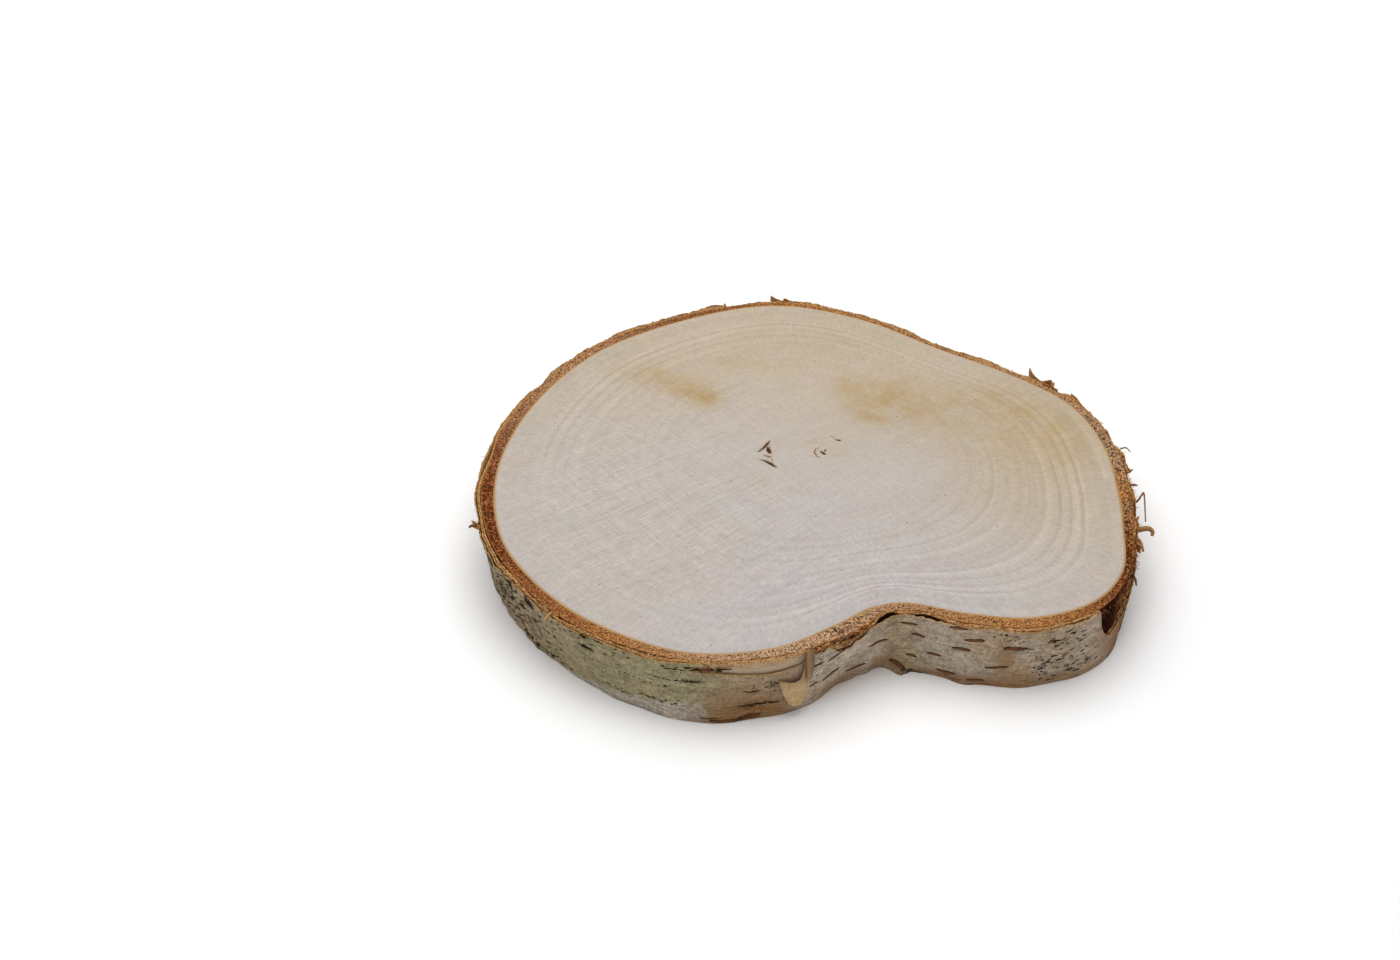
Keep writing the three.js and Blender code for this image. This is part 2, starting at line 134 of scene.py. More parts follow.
# Larger dark marks on smooth bark: place, height, length, height of the mark
MARKS = [
    (349.4, 20.2, 1.2, 0.6), (353.2, 20.2, 2.6, 0.8), (358, 20.5, 3.4, 0.7), (353.8, 16.2, 4.2, 0.8),
    (363, 18.6, 1.6, 0.5), (367.2, 18.6, 1.1, 0.8), (384, 20, 3.4, 0.45), (386.2, 19.5, 2.4, 1),
    (389.4, 19.4, 1.8, 0.7), (392.8, 19.9, 4.4, 0.35), (380.4, 19, 5.4, 0.4), (491, 16.9, 1.4, 0.9),
    (405.4, 11.8, 1.4, 0.6),
]
# Cracks and black hollows in the rough bark: place and height of one end, of the other end, width
CRACKS = [
    (331.4, 20.6, 333.2, 17.4, 4), (333, 13, 333.5, 11.8, 2), (322.7, 20.4, 323.8, 17.8, 1.6),
    (320.4, 21.2, 321.4, 20.8, 1.9), (312.6, 18.2, 314.4, 20.4, 2), (328, 14.6, 329.6, 14, 1.4),
    (322.2, 12.8, 324, 14, 1.4), (312.8, 8.6, 315.8, 9.4, 1.5), (320.6, 5.6, 322.2, 7.4, 1.6),
    (311.8, 3.8, 314.2, 5.4, 1.4), (327.1, 1.2, 328, 2.7, 1.4), (330, 1.2, 330.6, 3.2, 1.2),
    (332.3, 1, 333.1, 2, 1.2), (326, 5.2, 327, 6.4, 1.2), (338.6, 0.9, 339.2, 1.9, 1.1),
    (316, 14, 318.6, 11.8, 1.4), (304, 15, 302.4, 9, 1.8), (306.6, 19, 308, 14.6, 1.9),
    (298.6, 12, 296.4, 5, 1.8), (289, 18, 287.6, 10.6, 1.8), (334.6, 8.8, 336, 7.6, 1.1),
    (338.4, 20.2, 338.9, 20.3, 1.2), (342, 18.6, 342.6, 18.8, 1.2), (341.8, 12.1, 342.3, 12.6, 1.4),
    (339.4, 12.1, 339.8, 12.5, 1.1), (337.3, 11.6, 337.7, 12.3, 1.1), (325.6, 17.6, 326.6, 19.4, 0.9),
    (318, 15.4, 319.4, 17.2, 1.2), (308, 5, 310, 7.4, 1.2),
]
CRACK_DEPTH = 0.36
KNOBS = (318, 38)  # where the bark is knobby: place, half width
DEEPEST = 0.3  # no dent goes deeper into the skin
# Soft patches of colour on the bark: place, height, half width, half height, strength
BLACK_PATCHES = [
    (312, 12, 30, 15, 0.46), (333, 7, 14, 8, 0.5), (353.4, 20.3, 3, 1, 0.9), (353.8, 16, 4, 1, 0.9),
    (384.6, 15.2, 6, 0.6, 1), (387, 19.8, 4, 1, 0.6), (402, 5.8, 6, 0.8, 0.9), (396, 0.8, 8, 0.8, 0.9),
    (405.6, 13.2, 3, 2, 0.6), (494.5, 16.8, 6.4, 5, 0.4), (490.6, 16.9, 2.4, 1, 1.2),
    (496, 7, 6.4, 6.4, 0.46), (502.6, 7, 4, 7, 0.35), (488.6, 8, 2, 5.4, 0.55),
    (479.8, 18.6, 4.6, 2.2, 0.4), (481.6, 14.8, 5, 1.4, 0.9), (418, 18.6, 3.2, 3, 0.5),
    (402, 10, 12, 3.4, 0.35), (452, 0.6, 6, 1.2, 0.9), (200, 12, 26, 9, 0.6), (92, 9, 16, 8, 0.7),
    (540, 10, 20, 12, 0.6),
]
BROWN_PATCHES = [
    (400, 3.2, 14, 6.4, 0.95), (396, 0.8, 12, 1.8, 1.2), (396, 9, 9, 5, 0.45),
    (388.4, 19.3, 4.4, 1.3, 1.3), (411, 14.4, 4, 4, 0.5), (471, 0.9, 26, 2.6, 0.8), (482, 3, 8, 3.6, 0.6),
    (479, 10, 3, 8, 0.5), (490, 2, 12, 2, 0.7), (443, 2, 8, 4, 0.6), (427, 1.8, 12, 4, 0.7),
    (496, 1, 10, 2.4, 0.6), (310, 6, 16, 8, 0.35), (532, 12, 26, 20, 0.8), (12, 16, 30, 12, 0.6),
    (250, 6, 22, 8, 0.4), (130, 16, 20, 6, 0.4),
]
PALE_PATCHES = [
    (424, 17, 7, 5, 0.4), (462, 12, 8, 8, 0.5), (471, 8, 7, 6, 0.5), (484.6, 14, 4, 6, 0.7),
    (487, 7, 3, 5, 0.5), (500, 14, 3, 6, 0.5), (150, 8, 40, 12, 0.5), (60, 12, 22, 12, 0.4),
    (235, 14, 24, 8, 0.4),
]
# The bark's own colours, and from where to where along it each one prevails
OLIVE, TAN, GREY, SILVER = "998a6f", "a38e72", "a09585", "b8a796"
CREAM, BROWN = "ad9c8a", "86694c"
BARK_REGIONS = [
    (0, BROWN), (28, TAN), (70, CREAM), (150, GREY), (230, CREAM), (290, GREY), (330, OLIVE),
    (382, "999071"), (396, TAN), (406, TAN), (414, SILVER), (437, SILVER), (446, TAN), (462, CREAM),
    (484, TAN), (502, CREAM), (515, BROWN),
]
# Where the inner bark is the most broken up: place, half width, strength
CHUNKY = [(18, 30, 0.7), (532, 36, 1), (300, 40, 0.7), (428, 14, 0.7)]
# The inner bark's colours, in the same way
CHALK, TAWNY, PINKISH, RUDDY = "b39070", "af7844", "b28862", "7e411e"
ROSY = "be9b7a"
INNER_REGIONS = [
    (0, TAWNY), (14, CHALK), (35, CHALK), (60, PINKISH), (142, TAWNY), (178, "8f5a36"), (220, PINKISH),
    (284, RUDDY), (304, RUDDY), (326, "935a31"), (344, "9c6439"), (362, TAWNY), (385, PINKISH),
    (408, ROSY), (445, PINKISH), (488, TAWNY), (518, RUDDY), (528, "5c2d17"), (541, "9a6236"),
    (552, "ae855d"),
]
# The pale layer along the foot: places and its height
PALE_PLACES = (341, 349, 362, 376, 384, 387.5, 390)
PALE_HEIGHTS = (0, 1.6, 3.6, 5.4, 8, 7, 0)
# Curls of peeling bark: place of the root, height of the middle, length, height, turn in degrees
CURLS = [
    (53.4, 20, 11, 6, 48), (59.4, 19.4, -6.5, 5, 92), (50.8, 19.4, 6, 4.6, 96), (40, 19.2, 8.4, 5, 38),
    (14, 19.4, -2.6, 3, 60), (538.6, 19, -4, 4, 60), (547, 18, 2.6, 4.6, 50), (143.5, 20.8, 6.6, 3.8, 56),
    (141, 20.6, 5, 3.4, 50), (163, 20, 6.5, 3.2, 34), (196, 15, 5, 4.6, 100), (236, 16, -5, 4, 120),
    (262, 12, 4.4, 4, 90), (300.4, 19.6, -4.6, 3, 60),
]
CURL_THICKNESS = 0.4
ROOT = (0, 0, -0.6)  # the point that most shreds start from
# Shreds and threads: place, height, thickness and paleness, then points as along, up and out
SHREDS = [
    (554.6, 19.6, 0.7, 0, ROOT, (0.6, 0.8, 0.8), (2, 1.4, 1.9), (2.6, 1.2, 2.8), (-7, -0.6, 2.6)),
    (542.8, 19.8, 1.7, 0.3, ROOT, (0.3, 0.4, 1.4), (0.3, 0.6, 3), (-0.4, 0.2, 4.1), (-1.4, -0.6, 4.2)),
    (539.4, 19.4, 1.2, 0.3, ROOT, (-0.8, 0, 0.8), (-3, -0.4, 1.8), (-4.4, -0.8, 2.4)),
    (530, 13.4, 0.9, 0, ROOT, (-0.4, -0.6, 0.8), (-1.2, -2.4, 1.5)),
    (514.8, 18.6, 0.8, 0, ROOT, (-0.2, 0.4, 0.6), (-0.6, 0.6, 1.3)),
    (20.5, 19.8, 0.5, 0, ROOT, (0.2, 0.6, 0.9), (-0.6, 1.2, 2), (-2.4, 1.2, 2.4)),
    (10.4, 20, 0.8, 0, ROOT, (0.3, 0.4, 0.7), (0.8, 0.6, 1.5)),
    (4.8, 20, 0.8, 0, ROOT, (-0.2, 0.4, 0.9), (-0.6, 0.4, 1.9)),
    (163.4, 20.2, 0.8, 0, ROOT, (0, 0.5, 0.5), (-0.3, 0.9, 1.2)),
    (341.8, 21.7, 0.8, 0.9, (0, 0, -0.3), (-0.7, -1.3, 0.3), (-1.8, -3.3, 0.35), (-3.2, -5.2, 0.1)),
    (297.6, 19.6, 1.1, 0, ROOT, (0.3, 0.2, 1), (0.6, 0.5, 2.1), (0.9, 0.2, 3)),
]
# Crumbs of torn bark along the upper edge: from, to, number, size, share of pale ones
CRUMBS = [
    (417, 438, 110, 1, 0.2), (338, 394, 90, 0.55, 0.9), (298, 338, 60, 0.6, 0.6), (4, 38, 90, 0.7, 0.7),
    (515, 557, 160, 0.85, 0.1), (452, 500, 50, 0.45, 0.7), (38, 298, 160, 0.5, 0.5),
]
FIBRES = 120  # fine loose fibres along the upper edge
TORN = (505, 64)  # where half of them are: the start and the length of the torn stretch
# The peeled strip's hanging tongue: places from its left corner to its fold, its lower and its upper edge
TONGUE_PLACES = (407.2, 408.2, 409.4, 411, 412.4, 413.3, 414, 415, 416.8)
TONGUE_FEET = (13.4, 9, 5.4, 4.3, 4.2, 4.8, 7.4, 11.5, 16)
TONGUE_TOPS = (14, 13.7, 13, 12.6, 13.2, 15.8, 20, 21.7, 21.7)

# Marks at the pith: strokes of points with a width, and how dark and how deep each is
STROKES = [
    (0.95, 0.5, (-10.2, 13.7, 0.3), (-11.2, 12.2, 0.9), (-12.4, 10.2, 0.7), (-13.9, 8.4, 0.4)),
    (1, 0.6, (-11, 10.6, 0.8), (-10.8, 9.2, 1.3), (-10.4, 8, 0.8)),
    (0.7, 0.4, (-12.3, 6.9, 0.3), (-10.6, 6.1, 0.7)),
    (1, 0.6, (-13.3, 4.8, 0.3), (-11.6, 4, 0.8), (-10, 2.7, 1.1), (-8.6, 1, 0.3)),
    (0.4, 0.2, (-10.3, 12, 0.3), (-9.9, 7, 0.4), (-9.8, 3.4, 0.4)),
    (0.7, 0.1, (4.5, 10.4, 0.3), (3.3, 9.5, 0.45), (3, 8, 0.5), (3.6, 6.4, 0.45), (4.6, 5.5, 0.3)),
    (0.95, 0.3, (5.2, 8.4, 1), (6, 7.4, 0.8)),
    (0.8, 0.2, (5.9, 8.6, 0.6), (6.4, 9.4, 0.5)),
    (0.8, 0.3, (9.9, 14.1, 0.7), (10.8, 13.9, 0.8)),
    (0.5, 0.1, (8.2, 15.9, 0.4), (8.8, 15.4, 0.4), (9.6, 14.5, 0.3)),
    (0.3, 0.1, (1.6, 12.6, 0.2), (4.4, 12.4, 0.3), (7.2, 13.4, 0.2)),
]
# Soft brown or yellow stains in the wood: x, y, half width, half height, turn in degrees, strength
STAINS = [
    (-29.6, 33.6, 4.6, 3.8, -24, 1), (-35, 38.6, 10, 6.4, -25, 0.62), (-46, 45, 12, 6, -20, 0.5),
    (-20, 52, 12, 4, 0, 0.3), (14, 41, 4, 7, 0, 0.4), (20, 26, 7, 4, -40, 0.6),
    (26, 34, 14, 11, -15, 0.66), (40, 28, 22, 18, -20, 0.4), (62, 10, 20, 20, -50, 0.3),
    (80, 15, 13, 20, -20, 0.36), (64, 30, 18, 12, -40, 0.5), (56, -14, 18, 12, -30, 0.16),
    (6, 62, 30, 10, 0, 0.2), (-10, -6, 12, 7, 0, 0.1), (2.4, 13.3, 2.4, 1.4, 10, 0.4),
    (11, 7.1, 3, 1.5, 10, 0.3), (8, 11, 12, 9, 0, 0.14),
]

# The photograph's view, in millimetres and degrees
CAMERA_PLACE = (-31.418, -668.526, 578.907)
CAMERA_TILT = 50
CAMERA_LENS = 75
# The light and the floor, in metres and watts
LIGHT_PLACE = (-0.1, 0.25, 1.3)
LIGHT_SIZE = 1.5
LIGHT_POWER = 17.5
SURROUND_STRENGTH = 0.42
FLOOR_HALF = 3.0
FLOOR_COLOUR = (0.95, 0.95, 0.95, 1)


def unit(values):
    """Values held between 0 and 1."""
    return np.clip(values, 0, 1)


def spline(before, here, ahead, beyond, t):
    """A smooth curve from one point to the next, at shares of the way."""
    bend = 2 * before - 5 * here + 4 * ahead - beyond + t * (3 * here - before - 3 * ahead + beyond)
    return here + 0.5 * t * (ahead - before + t * bend)


def shape_table():
    """The outline at many places: distance along it, x, y, thickness, lean and the outward normal."""
    count = 6000
    rows = np.array(STATIONS, float)
    station = np.arange(count) * len(rows) / count
    whole = np.floor(station).astype(int)
    near = (rows[(whole + step) % len(rows)] for step in (-1, 0, 1, 2))
    curve = spline(*near, (station - whole)[:, None])
    along = np.roll(curve[:, :2], -1, 0) - np.roll(curve[:, :2], 1, 0)
    along /= np.linalg.norm(along, axis=1)[:, None]
    table = np.column_stack([curve, along[:, 1], -along[:, 0]])
    table = np.vstack([table, table[:1]])
    steps = np.hypot(*np.diff(table[:, :2], axis=0).T)
    return np.column_stack([np.concatenate([[0], np.cumsum(steps)]), table])


SHAPE = shape_table()
PERIMETER = SHAPE[-1, 0]


def even_places(count):
    """Places right round the wood's edge, evenly apart."""
    return np.arange(count) * PERIMETER / count


def edge_at(place):
    """x, y, thickness, lean and the two parts of the normal at places along the wood's edge."""
    at = np.asarray(place, float) % PERIMETER
    return [np.interp(at, SHAPE[:, 0], SHAPE[:, column]) for column in range(1, 7)]


def off_edge(place, out, height):
    """Points off the wood's edge, drawn in lower down where the bark leans."""
    x, y, _, lean, normal_x, normal_y = edge_at(place)
    lower = unit(1 - np.asarray(height) / THICKNESS)
    reach = out - lean * lower - sum_of(UNDERCUTS, place) * lower**1.6
    return np.stack(np.broadcast_arrays(x + normal_x * reach, y + normal_y * reach, height), -1)


def way_round(place, centre):
    """How far places lie past another one, the short way round."""
    return (place - centre + 1.5 * PERIMETER) % PERIMETER - PERIMETER / 2


def bump(place, centre, half):
    """A smooth bump of height 1 that falls to 0 at its half width."""
    share = np.minimum(1, np.abs(way_round(place, centre)) / half)
    return (1 - share**2) ** 2


def sum_of(bumps, place):
    """Several bumps together, each given as centre, half width and size."""
    return sum(size * bump(place, at, half) for at, half, size in bumps)


def wood_out(place):
    """How far off the wood's edge the wood stops and the inner bark starts."""
    return WOOD_OUT - sum_of(WIDER_RING, place)


def lattice(column, row, seed):
    """A number from 0 to 1 for each whole point of a grid, the same on each run."""
    mixed = (column * 374761393 + row * 668265263 + seed * 2246822519) & 0xFFFFFFFF
    mixed = ((mixed ^ (mixed >> 13)) * 1274126177) & 0xFFFFFFFF
    return ((mixed ^ (mixed >> 16)) & 0xFFFF) / 65535


def noise_round(place, height, wide, tall, seed):
    """Smooth noise from -1 to 1 over the bark, with cells of that width and height. It closes on itself."""
    columns = max(1, round(PERIMETER / wide))
    u = np.asarray(place, float) / PERIMETER * columns
    u, v = np.broadcast_arrays(u, np.asarray(height, float) / tall)
    column, row = np.floor(u).astype(np.int64), np.floor(v).astype(np.int64)
    ease_u, ease_v = ((f * f * (3 - 2 * f)) for f in (u - column, v - row))
    corner = lambda right, up: lattice((column + right) % columns, row + up, seed)
    low = corner(0, 0) + (corner(1, 0) - corner(0, 0)) * ease_u
    high = corner(0, 1) + (corner(1, 1) - corner(0, 1)) * ease_u
    return 2 * (low + (high - low) * ease_v) - 1


def patches_at(patches, place, height):
    """How strongly soft patches cover points of the bark, up to the strongest one's strength."""
    cover = np.zeros(np.broadcast(place, height).shape)
    for at, up, half_wide, half_tall, strength in patches:
        far = (way_round(place, at) / half_wide) ** 2 + ((height - up) / half_tall) ** 2
        cover = np.maximum(cover, strength * np.exp(-1.4 * far**1.4))
    return cover


def flare(place, height):
    """How far the outer bark stands out at its foot."""
    return sum(unit(1 - height / tall) ** 2 * bump(place, at, half) * out for at, half, out, tall in FLARES)


def roughness(place, height):
    """The scaly relief of old bark, from about -1 in the hollows to 1 on the knobs."""
    coarse = noise_round(place, height, 2.2, 1.5, 3)
    return 0.65 * coarse + 0.5 * noise_round(place, height, 1, 0.9, 4)


def relief(place, height):
    """Slow waves and knobs of the bark's surface, as in the solid."""
    turn = 2 * np.pi * place / PERIMETER
    waves = 0.22 * np.sin(19 * turn + 0.16 * height) + 0.16 * np.sin(37 * turn - 0.3 * height + 1.3)
    return waves + 0.2 * bump(place, *KNOBS) * np.sin(101 * turn + 0.9 * height)


def off_line(x, y, from_x, from_y, to_x, to_y):
    """How far along a line points lie, as a share, and how far away from it."""
    run, rise = to_x - from_x, to_y - from_y
    share = unit(((x - from_x) * run + (y - from_y) * rise) / (run**2 + rise**2))
    return share, np.hypot(x - from_x - share * run, y - from_y - share * rise)


def cracks_at(place, height):
    """How deep the cracks are at points of the bark, as a share."""
    depth = np.zeros(np.broadcast(place, height).shape)
    for *line, width in CRACKS:
        share, away = off_line(place, height, *line)
        half = width / 2 * np.sqrt(1 - (2 * share - 1) ** 2 * 0.75)
        depth = np.maximum(depth, unit(2.6 - 2 * away / half))
    return depth


def smooth_out(place, height):
    """How far out the bark's outer surface is, without its fine relief."""
    shut = sum_of(CREVICES, place) * (1 - (np.clip(height, 0, THICKNESS) / THICKNESS) ** 1.5)
    return edge_at(place)[2] - shut + relief(place, height) + flare(place, height)


def bark_out(place, height):
    """How far out the bark's outer surface is, with its fine relief."""
    place, height = np.broadcast_arrays(np.asarray(place, float), np.asarray(height, float))
    rough = np.minimum(patches_at(BLACK_PATCHES, place, height), 1)
    grain = 0.06 * noise_round(place, height, 5, 0.9, 1) + 0.04 * noise_round(place, height, 1.3, 0.9, 2)
    knobs = rough * 0.36 * roughness(place, height)
    fine = np.maximum(grain + knobs - CRACK_DEPTH * cracks_at(place, height), -DEEPEST)
    return smooth_out(place, height) + fine


def on_bark(place, height, out):
    """Points on the bark's outer surface, plus a distance out of it."""
    return off_edge(place, bark_out(place, height) + out, height)


def edge_height(place, share, seed):
    """The height of a sheet's torn upper edge, where the tears reach that share of their depth."""
    coarse, fine = noise_round(place, 0, 1.5, 1, seed), noise_round(place, 0, 0.6, 1, seed + 1)
    ragged = (0.24 * (1 + coarse) + 0.12 * (1 + fine)) * (1 + sum_of(RAGGED, place))
    notch = np.interp(place, NOTCH_PLACES, NOTCH_DEPTHS)
    return THICKNESS - share * sum_of(TEARS, place) - notch - ragged * (0.4 + 0.6 * share)


def seeded(seed):
    """The same numbers from 0 to 1 on each run, by the rule that also places the solid's lenticels."""
    state = seed
    while True:
        state = (state * 1664525 + 1013904223) % 2**32
        yield state / 2**32


def spread(draws, start, end, count):
    """Places along a stretch, one at a random point of each equal part."""
    for k in range(count):
        yield start + (k + next(draws)) / count * (end - start)


def srgb(code):
    """A colour code as linear red, green, blue and alpha."""
    values = [int(code[k:k + 2], 16) / 255 for k in (0, 2, 4)]
    return (*(v / 12.92 if v <= 0.04045 else ((v + 0.055) / 1.055) ** 2.4 for v in values), 1)


def tints(regions, place, height):
    """The colour of points of the bark, in linear light, from regions as places and colour codes."""
    place, height = np.broadcast_arrays(place, height)
    places = [at for at, _ in regions]
    colours = np.array([srgb(code) for _, code in regions])
    at = place + 2.5 * noise_round(place, height, 9, 4, 91)
    return np.stack([np.interp(at, places, colours[:, k], period=PERIMETER) for k in range(4)], -1)


# Meshes

def frame_shift():
    """From the outline's own millimetres to the frame's, from where the wood lies in the frame."""
    low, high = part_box("wood")
    middle = np.array([(low.x + high.x) / 2, (low.y + high.y) / 2]) / MM
    own = off_edge(np.linspace(0, PERIMETER, 4000), -0.15, THICKNESS)[:, :2]
    return np.array([*(middle - (own.min(0) + own.max(0)) / 2), 0])


SHIFT = frame_shift()


def new_object(name, data):
    """An object of some data, in the scene."""
    thing = bpy.data.objects.new(name, data)
    bpy.context.scene.collection.objects.link(thing)
    return thing


def build(name, points, faces, material, attributes):
    """A smooth mesh object from points in the outline's millimetres, with its attributes, on the body."""
    mesh = bpy.data.meshes.new(name)
    mesh.from_pydata(((points + SHIFT) * MM).tolist(), [], faces)
    for key, values in attributes.items():
        values = np.asarray(values, np.float32)
        kind = "FLOAT" if values.ndim == 1 else "FLOAT_COLOR"
        layer = mesh.attributes.new(key, kind, "POINT")
        layer.data.foreach_set("value" if values.ndim == 1 else "color", values.ravel())
    mesh.polygons.foreach_set("use_smooth", [True] * len(mesh.polygons))
    mesh.materials.append(material)
    piece = new_object(name, mesh)
    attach(piece, BODY)
    return piece


def grid_faces(rows, columns, closed_rows=False, closed_columns=False, start=0):
    """The quads of a grid of points that are numbered row by row."""
    row = np.arange(rows if closed_rows else rows - 1)[:, None]
    column = np.arange(columns if closed_columns else columns - 1)[None, :]
    down, right = (row + 1) % rows, (column + 1) % columns
    quads = np.stack(np.broadcast_arrays(
        row * columns + column, row * columns + right, down * columns + right, down * columns + column
    ), -1)
    return (quads.reshape(-1, 4) + start).tolist()


def ring_piece(name, sections, material, attributes):
    """A closed ring round the slice, from sections as rows by places by three."""
    rows, columns, _ = sections.shape
    faces = grid_faces(rows, columns, closed_rows=True, closed_columns=True)
    flat = {key: np.broadcast_to(value, (rows, columns)).ravel() if np.ndim(value) < 3
            else value.reshape(-1, 4) for key, value in attributes.items()}
    return build(name, sections.reshape(-1, 3), faces, material, flat)


class Pile:
    """Many small closed shells, gathered into one mesh."""

    def __init__(self):
        self.points, self.faces, self.values, self.count = [], [], [], 0

    def shell(self, front, back, value):
        """A shell between two grids of points, with a value for each point of the front."""
        rows, columns, _ = front.shape
        size = rows * columns
        self.faces += grid_faces(rows, columns, start=self.count)
        behind = grid_faces(rows, columns, start=self.count + size)
        self.faces += [quad[::-1] for quad in behind]
        number = np.arange(size).reshape(rows, columns) + self.count
        rim = np.concatenate([number[0, :-1], number[:-1, -1], number[-1, :0:-1], number[:0:-1, 0]]).tolist()
        for here, ahead in zip(rim, rim[1:] + rim[:1]):
            self.faces.append([ahead, here, here + size, ahead + size])
        self.points += [front.reshape(-1, 3), back.reshape(-1, 3)]
        self.values += [np.broadcast_to(value, (rows, columns)).ravel()] * 2
        self.count += 2 * size

    def sheet(self, points, thickness, value=0.0):
        """A thin sheet through a grid of points."""
        across = np.gradient(points, axis=0)
        along = np.gradient(points, axis=1)
        normal = np.cross(across, along)
        normal /= np.maximum(np.linalg.norm(normal, axis=-1, keepdims=True), 1e-9)
        half = np.broadcast_to(thickness, points.shape[:2])[..., None] / 2
        self.shell(points + normal * half, points - normal * half, value)

    def rod(self, path, radii, sides, value=0.0):
        """A rod along a path, with a radius at each point and closed ends."""
        steps = np.gradient(path, axis=0)
        steps /= np.linalg.norm(steps, axis=1)[:, None]
        first = np.cross(steps, (0.31, 0.17, 0.93))
        first /= np.linalg.norm(first, axis=1)[:, None]
        second = np.cross(steps, first)
        angle = 2 * np.pi * np.arange(sides) / sides
        circle = first[:, None] * np.cos(angle)[:, None] + second[:, None] * np.sin(angle)[:, None]
        rings = path[:, None] + circle * np.asarray(radii)[:, None, None]
        rows = len(path)
        self.faces += grid_faces(rows, sides, closed_columns=True, start=self.count)
        self.faces.append([self.count + k for k in range(sides)][::-1])
        self.faces.append([self.count + (rows - 1) * sides + k for k in range(sides)])
        self.points.append(rings.reshape(-1, 3))
        self.values.append(np.full(rows * sides, value))
        self.count += rows * sides

    def finish(self, name, material):
        """The gathered mesh as one piece of the outer bark."""
        points, values = np.concatenate(self.points), np.concatenate(self.values)
        build(name, points, self.faces, material, {"value": values})


# Materials

class Paint:
    """A material being mixed. It keeps the colour so far, and its methods add nodes."""

    def __init__(self, name, roughness, specular):
        self.material = bpy.data.materials.new(name)
        self.material.use_nodes = True
        self.tree = self.material.node_tree
        self.surface = self.tree.nodes["Principled BSDF"]
        self.surface.inputs["Roughness"].default_value = roughness
        self.surface.inputs["Specular IOR Level"].default_value = specular
        metres = self.tree.nodes.new("ShaderNodeTexCoord").outputs["Object"]
        self.here = self.vector("MULTIPLY", metres, (1 / MM,) * 3)
        self.colour = None

    def node(self, kind, inputs, **settings):
        node = self.tree.nodes.new("ShaderNode" + kind)
        for key, value in settings.items():
            setattr(node, key, value)
        for key, value in inputs.items():
            if isinstance(value, bpy.types.NodeSocket):
                self.tree.links.new(value, node.inputs[key])
            else:
                node.inputs[key].default_value = value
        return node

    def math(self, operation, first, second=0.0, third=0.0):
        return self.node("Math", {0: first, 1: second, 2: third}, operation=operation).outputs[0]

    def vector(self, operation, first, second):
        key = "Scale" if operation == "SCALE" else 1
        return self.node("VectorMath", {0: first, key: second}, operation=operation).outputs[0]

    def stretched(self, scale, turn=0, at=None):
        """The surface's coordinates, or others, turned about the upright axis by degrees, then stretched."""
        at = self.here if at is None else at
        if turn:
            at = self.node("VectorRotate", {"Vector": at, "Angle": math.radians(turn)}).outputs[0]
        return self.vector("MULTIPLY", at, scale)

    def noise(self, scale, detail=2.0, roughness=0.5, turn=0, at=None):
        """A noise over the surface or other coordinates. The scale is a number, or one for each axis."""
        if isinstance(scale, tuple):
            at, scale = self.stretched(scale, turn, at), 1.0
        at = self.here if at is None else at
        inputs = {"Vector": at, "Scale": scale, "Detail": detail, "Roughness": roughness}
        return self.node("TexNoise", inputs).outputs[0]

    def warped(self, at, scale, size):
        """Coordinates pushed about by a noise."""
        noise = self.node("TexNoise", {"Vector": at, "Scale": scale, "Detail": 2.0}).outputs["Color"]
        push = self.vector("SCALE", self.vector("SUBTRACT", noise, (0.5, 0.5, 0.5)), size)
        return self.vector("ADD", at, push)

    def cells(self, at, scale, feature="F1"):
        """The outputs of a pattern of cells: the distance to a middle or seam, and for middles a colour."""
        return self.node("TexVoronoi", {"Vector": at, "Scale": scale}, feature=feature).outputs

    def attribute(self, name, output="Fac"):
        return self.node("Attribute", {}, attribute_name=name).outputs[output]

    def attributes(self, names):
        return [self.attribute(name) for name in names.split()]

    def remap(self, value, low, high, to_low=0.0, to_high=1.0):
        """A value's range as another range, clamped, with a smooth step."""
        inputs = {"Value": value, "From Min": low, "From Max": high, "To Min": to_low, "To Max": to_high}
        return self.node("MapRange", inputs, interpolation_type="SMOOTHSTEP").outputs[0]

    def product(self, *values):
        """Several values multiplied together."""
        total = values[0]
        for value in values[1:]:
            total = self.math("MULTIPLY", total, value)
        return total

    def linear(self, value, times, plus):
        """A value multiplied, then added to."""
        return self.math("MULTIPLY_ADD", value, times, plus)

    def less(self, value, other):
        return self.math("SUBTRACT", value, other)

    def larger(self, value, other):
        return self.math("MAXIMUM", value, other)

    def mix(self, first, second, share):
        """Two colours mixed. Each is a socket or a colour code."""
        first, second = (srgb(colour) if isinstance(colour, str) else colour for colour in (first, second))
        return self.node("Mix", {0: share, 6: first, 7: second}, data_type="RGBA").outputs[2]

    def tint(self, colour, *shares):
        """The colour so far gives way to another, by shares that are multiplied."""
        self.colour = self.mix(self.colour, colour, self.product(*shares))

    def light(self, value):
        """The colour so far is made lighter or darker by a factor."""
        self.colour = self.vector("SCALE", self.colour, value)

    def vary(self, value, *sizes):
        """The colour so far follows a noise round a half, by sizes that are multiplied."""
        self.light(self.linear(self.less(value, 0.5), self.product(*sizes), 1.0))

    def finish(self, height, distance):
        """The colour and a bump go to the surface. The bump's distance is in millimetres."""
        self.tree.links.new(self.colour, self.surface.inputs["Base Color"])
        bumped = self.node("Bump", {"Height": height, "Distance": distance * MM, "Strength": 1.0})
        self.tree.links.new(bumped.outputs[0], self.surface.inputs["Normal"])
        return self.material


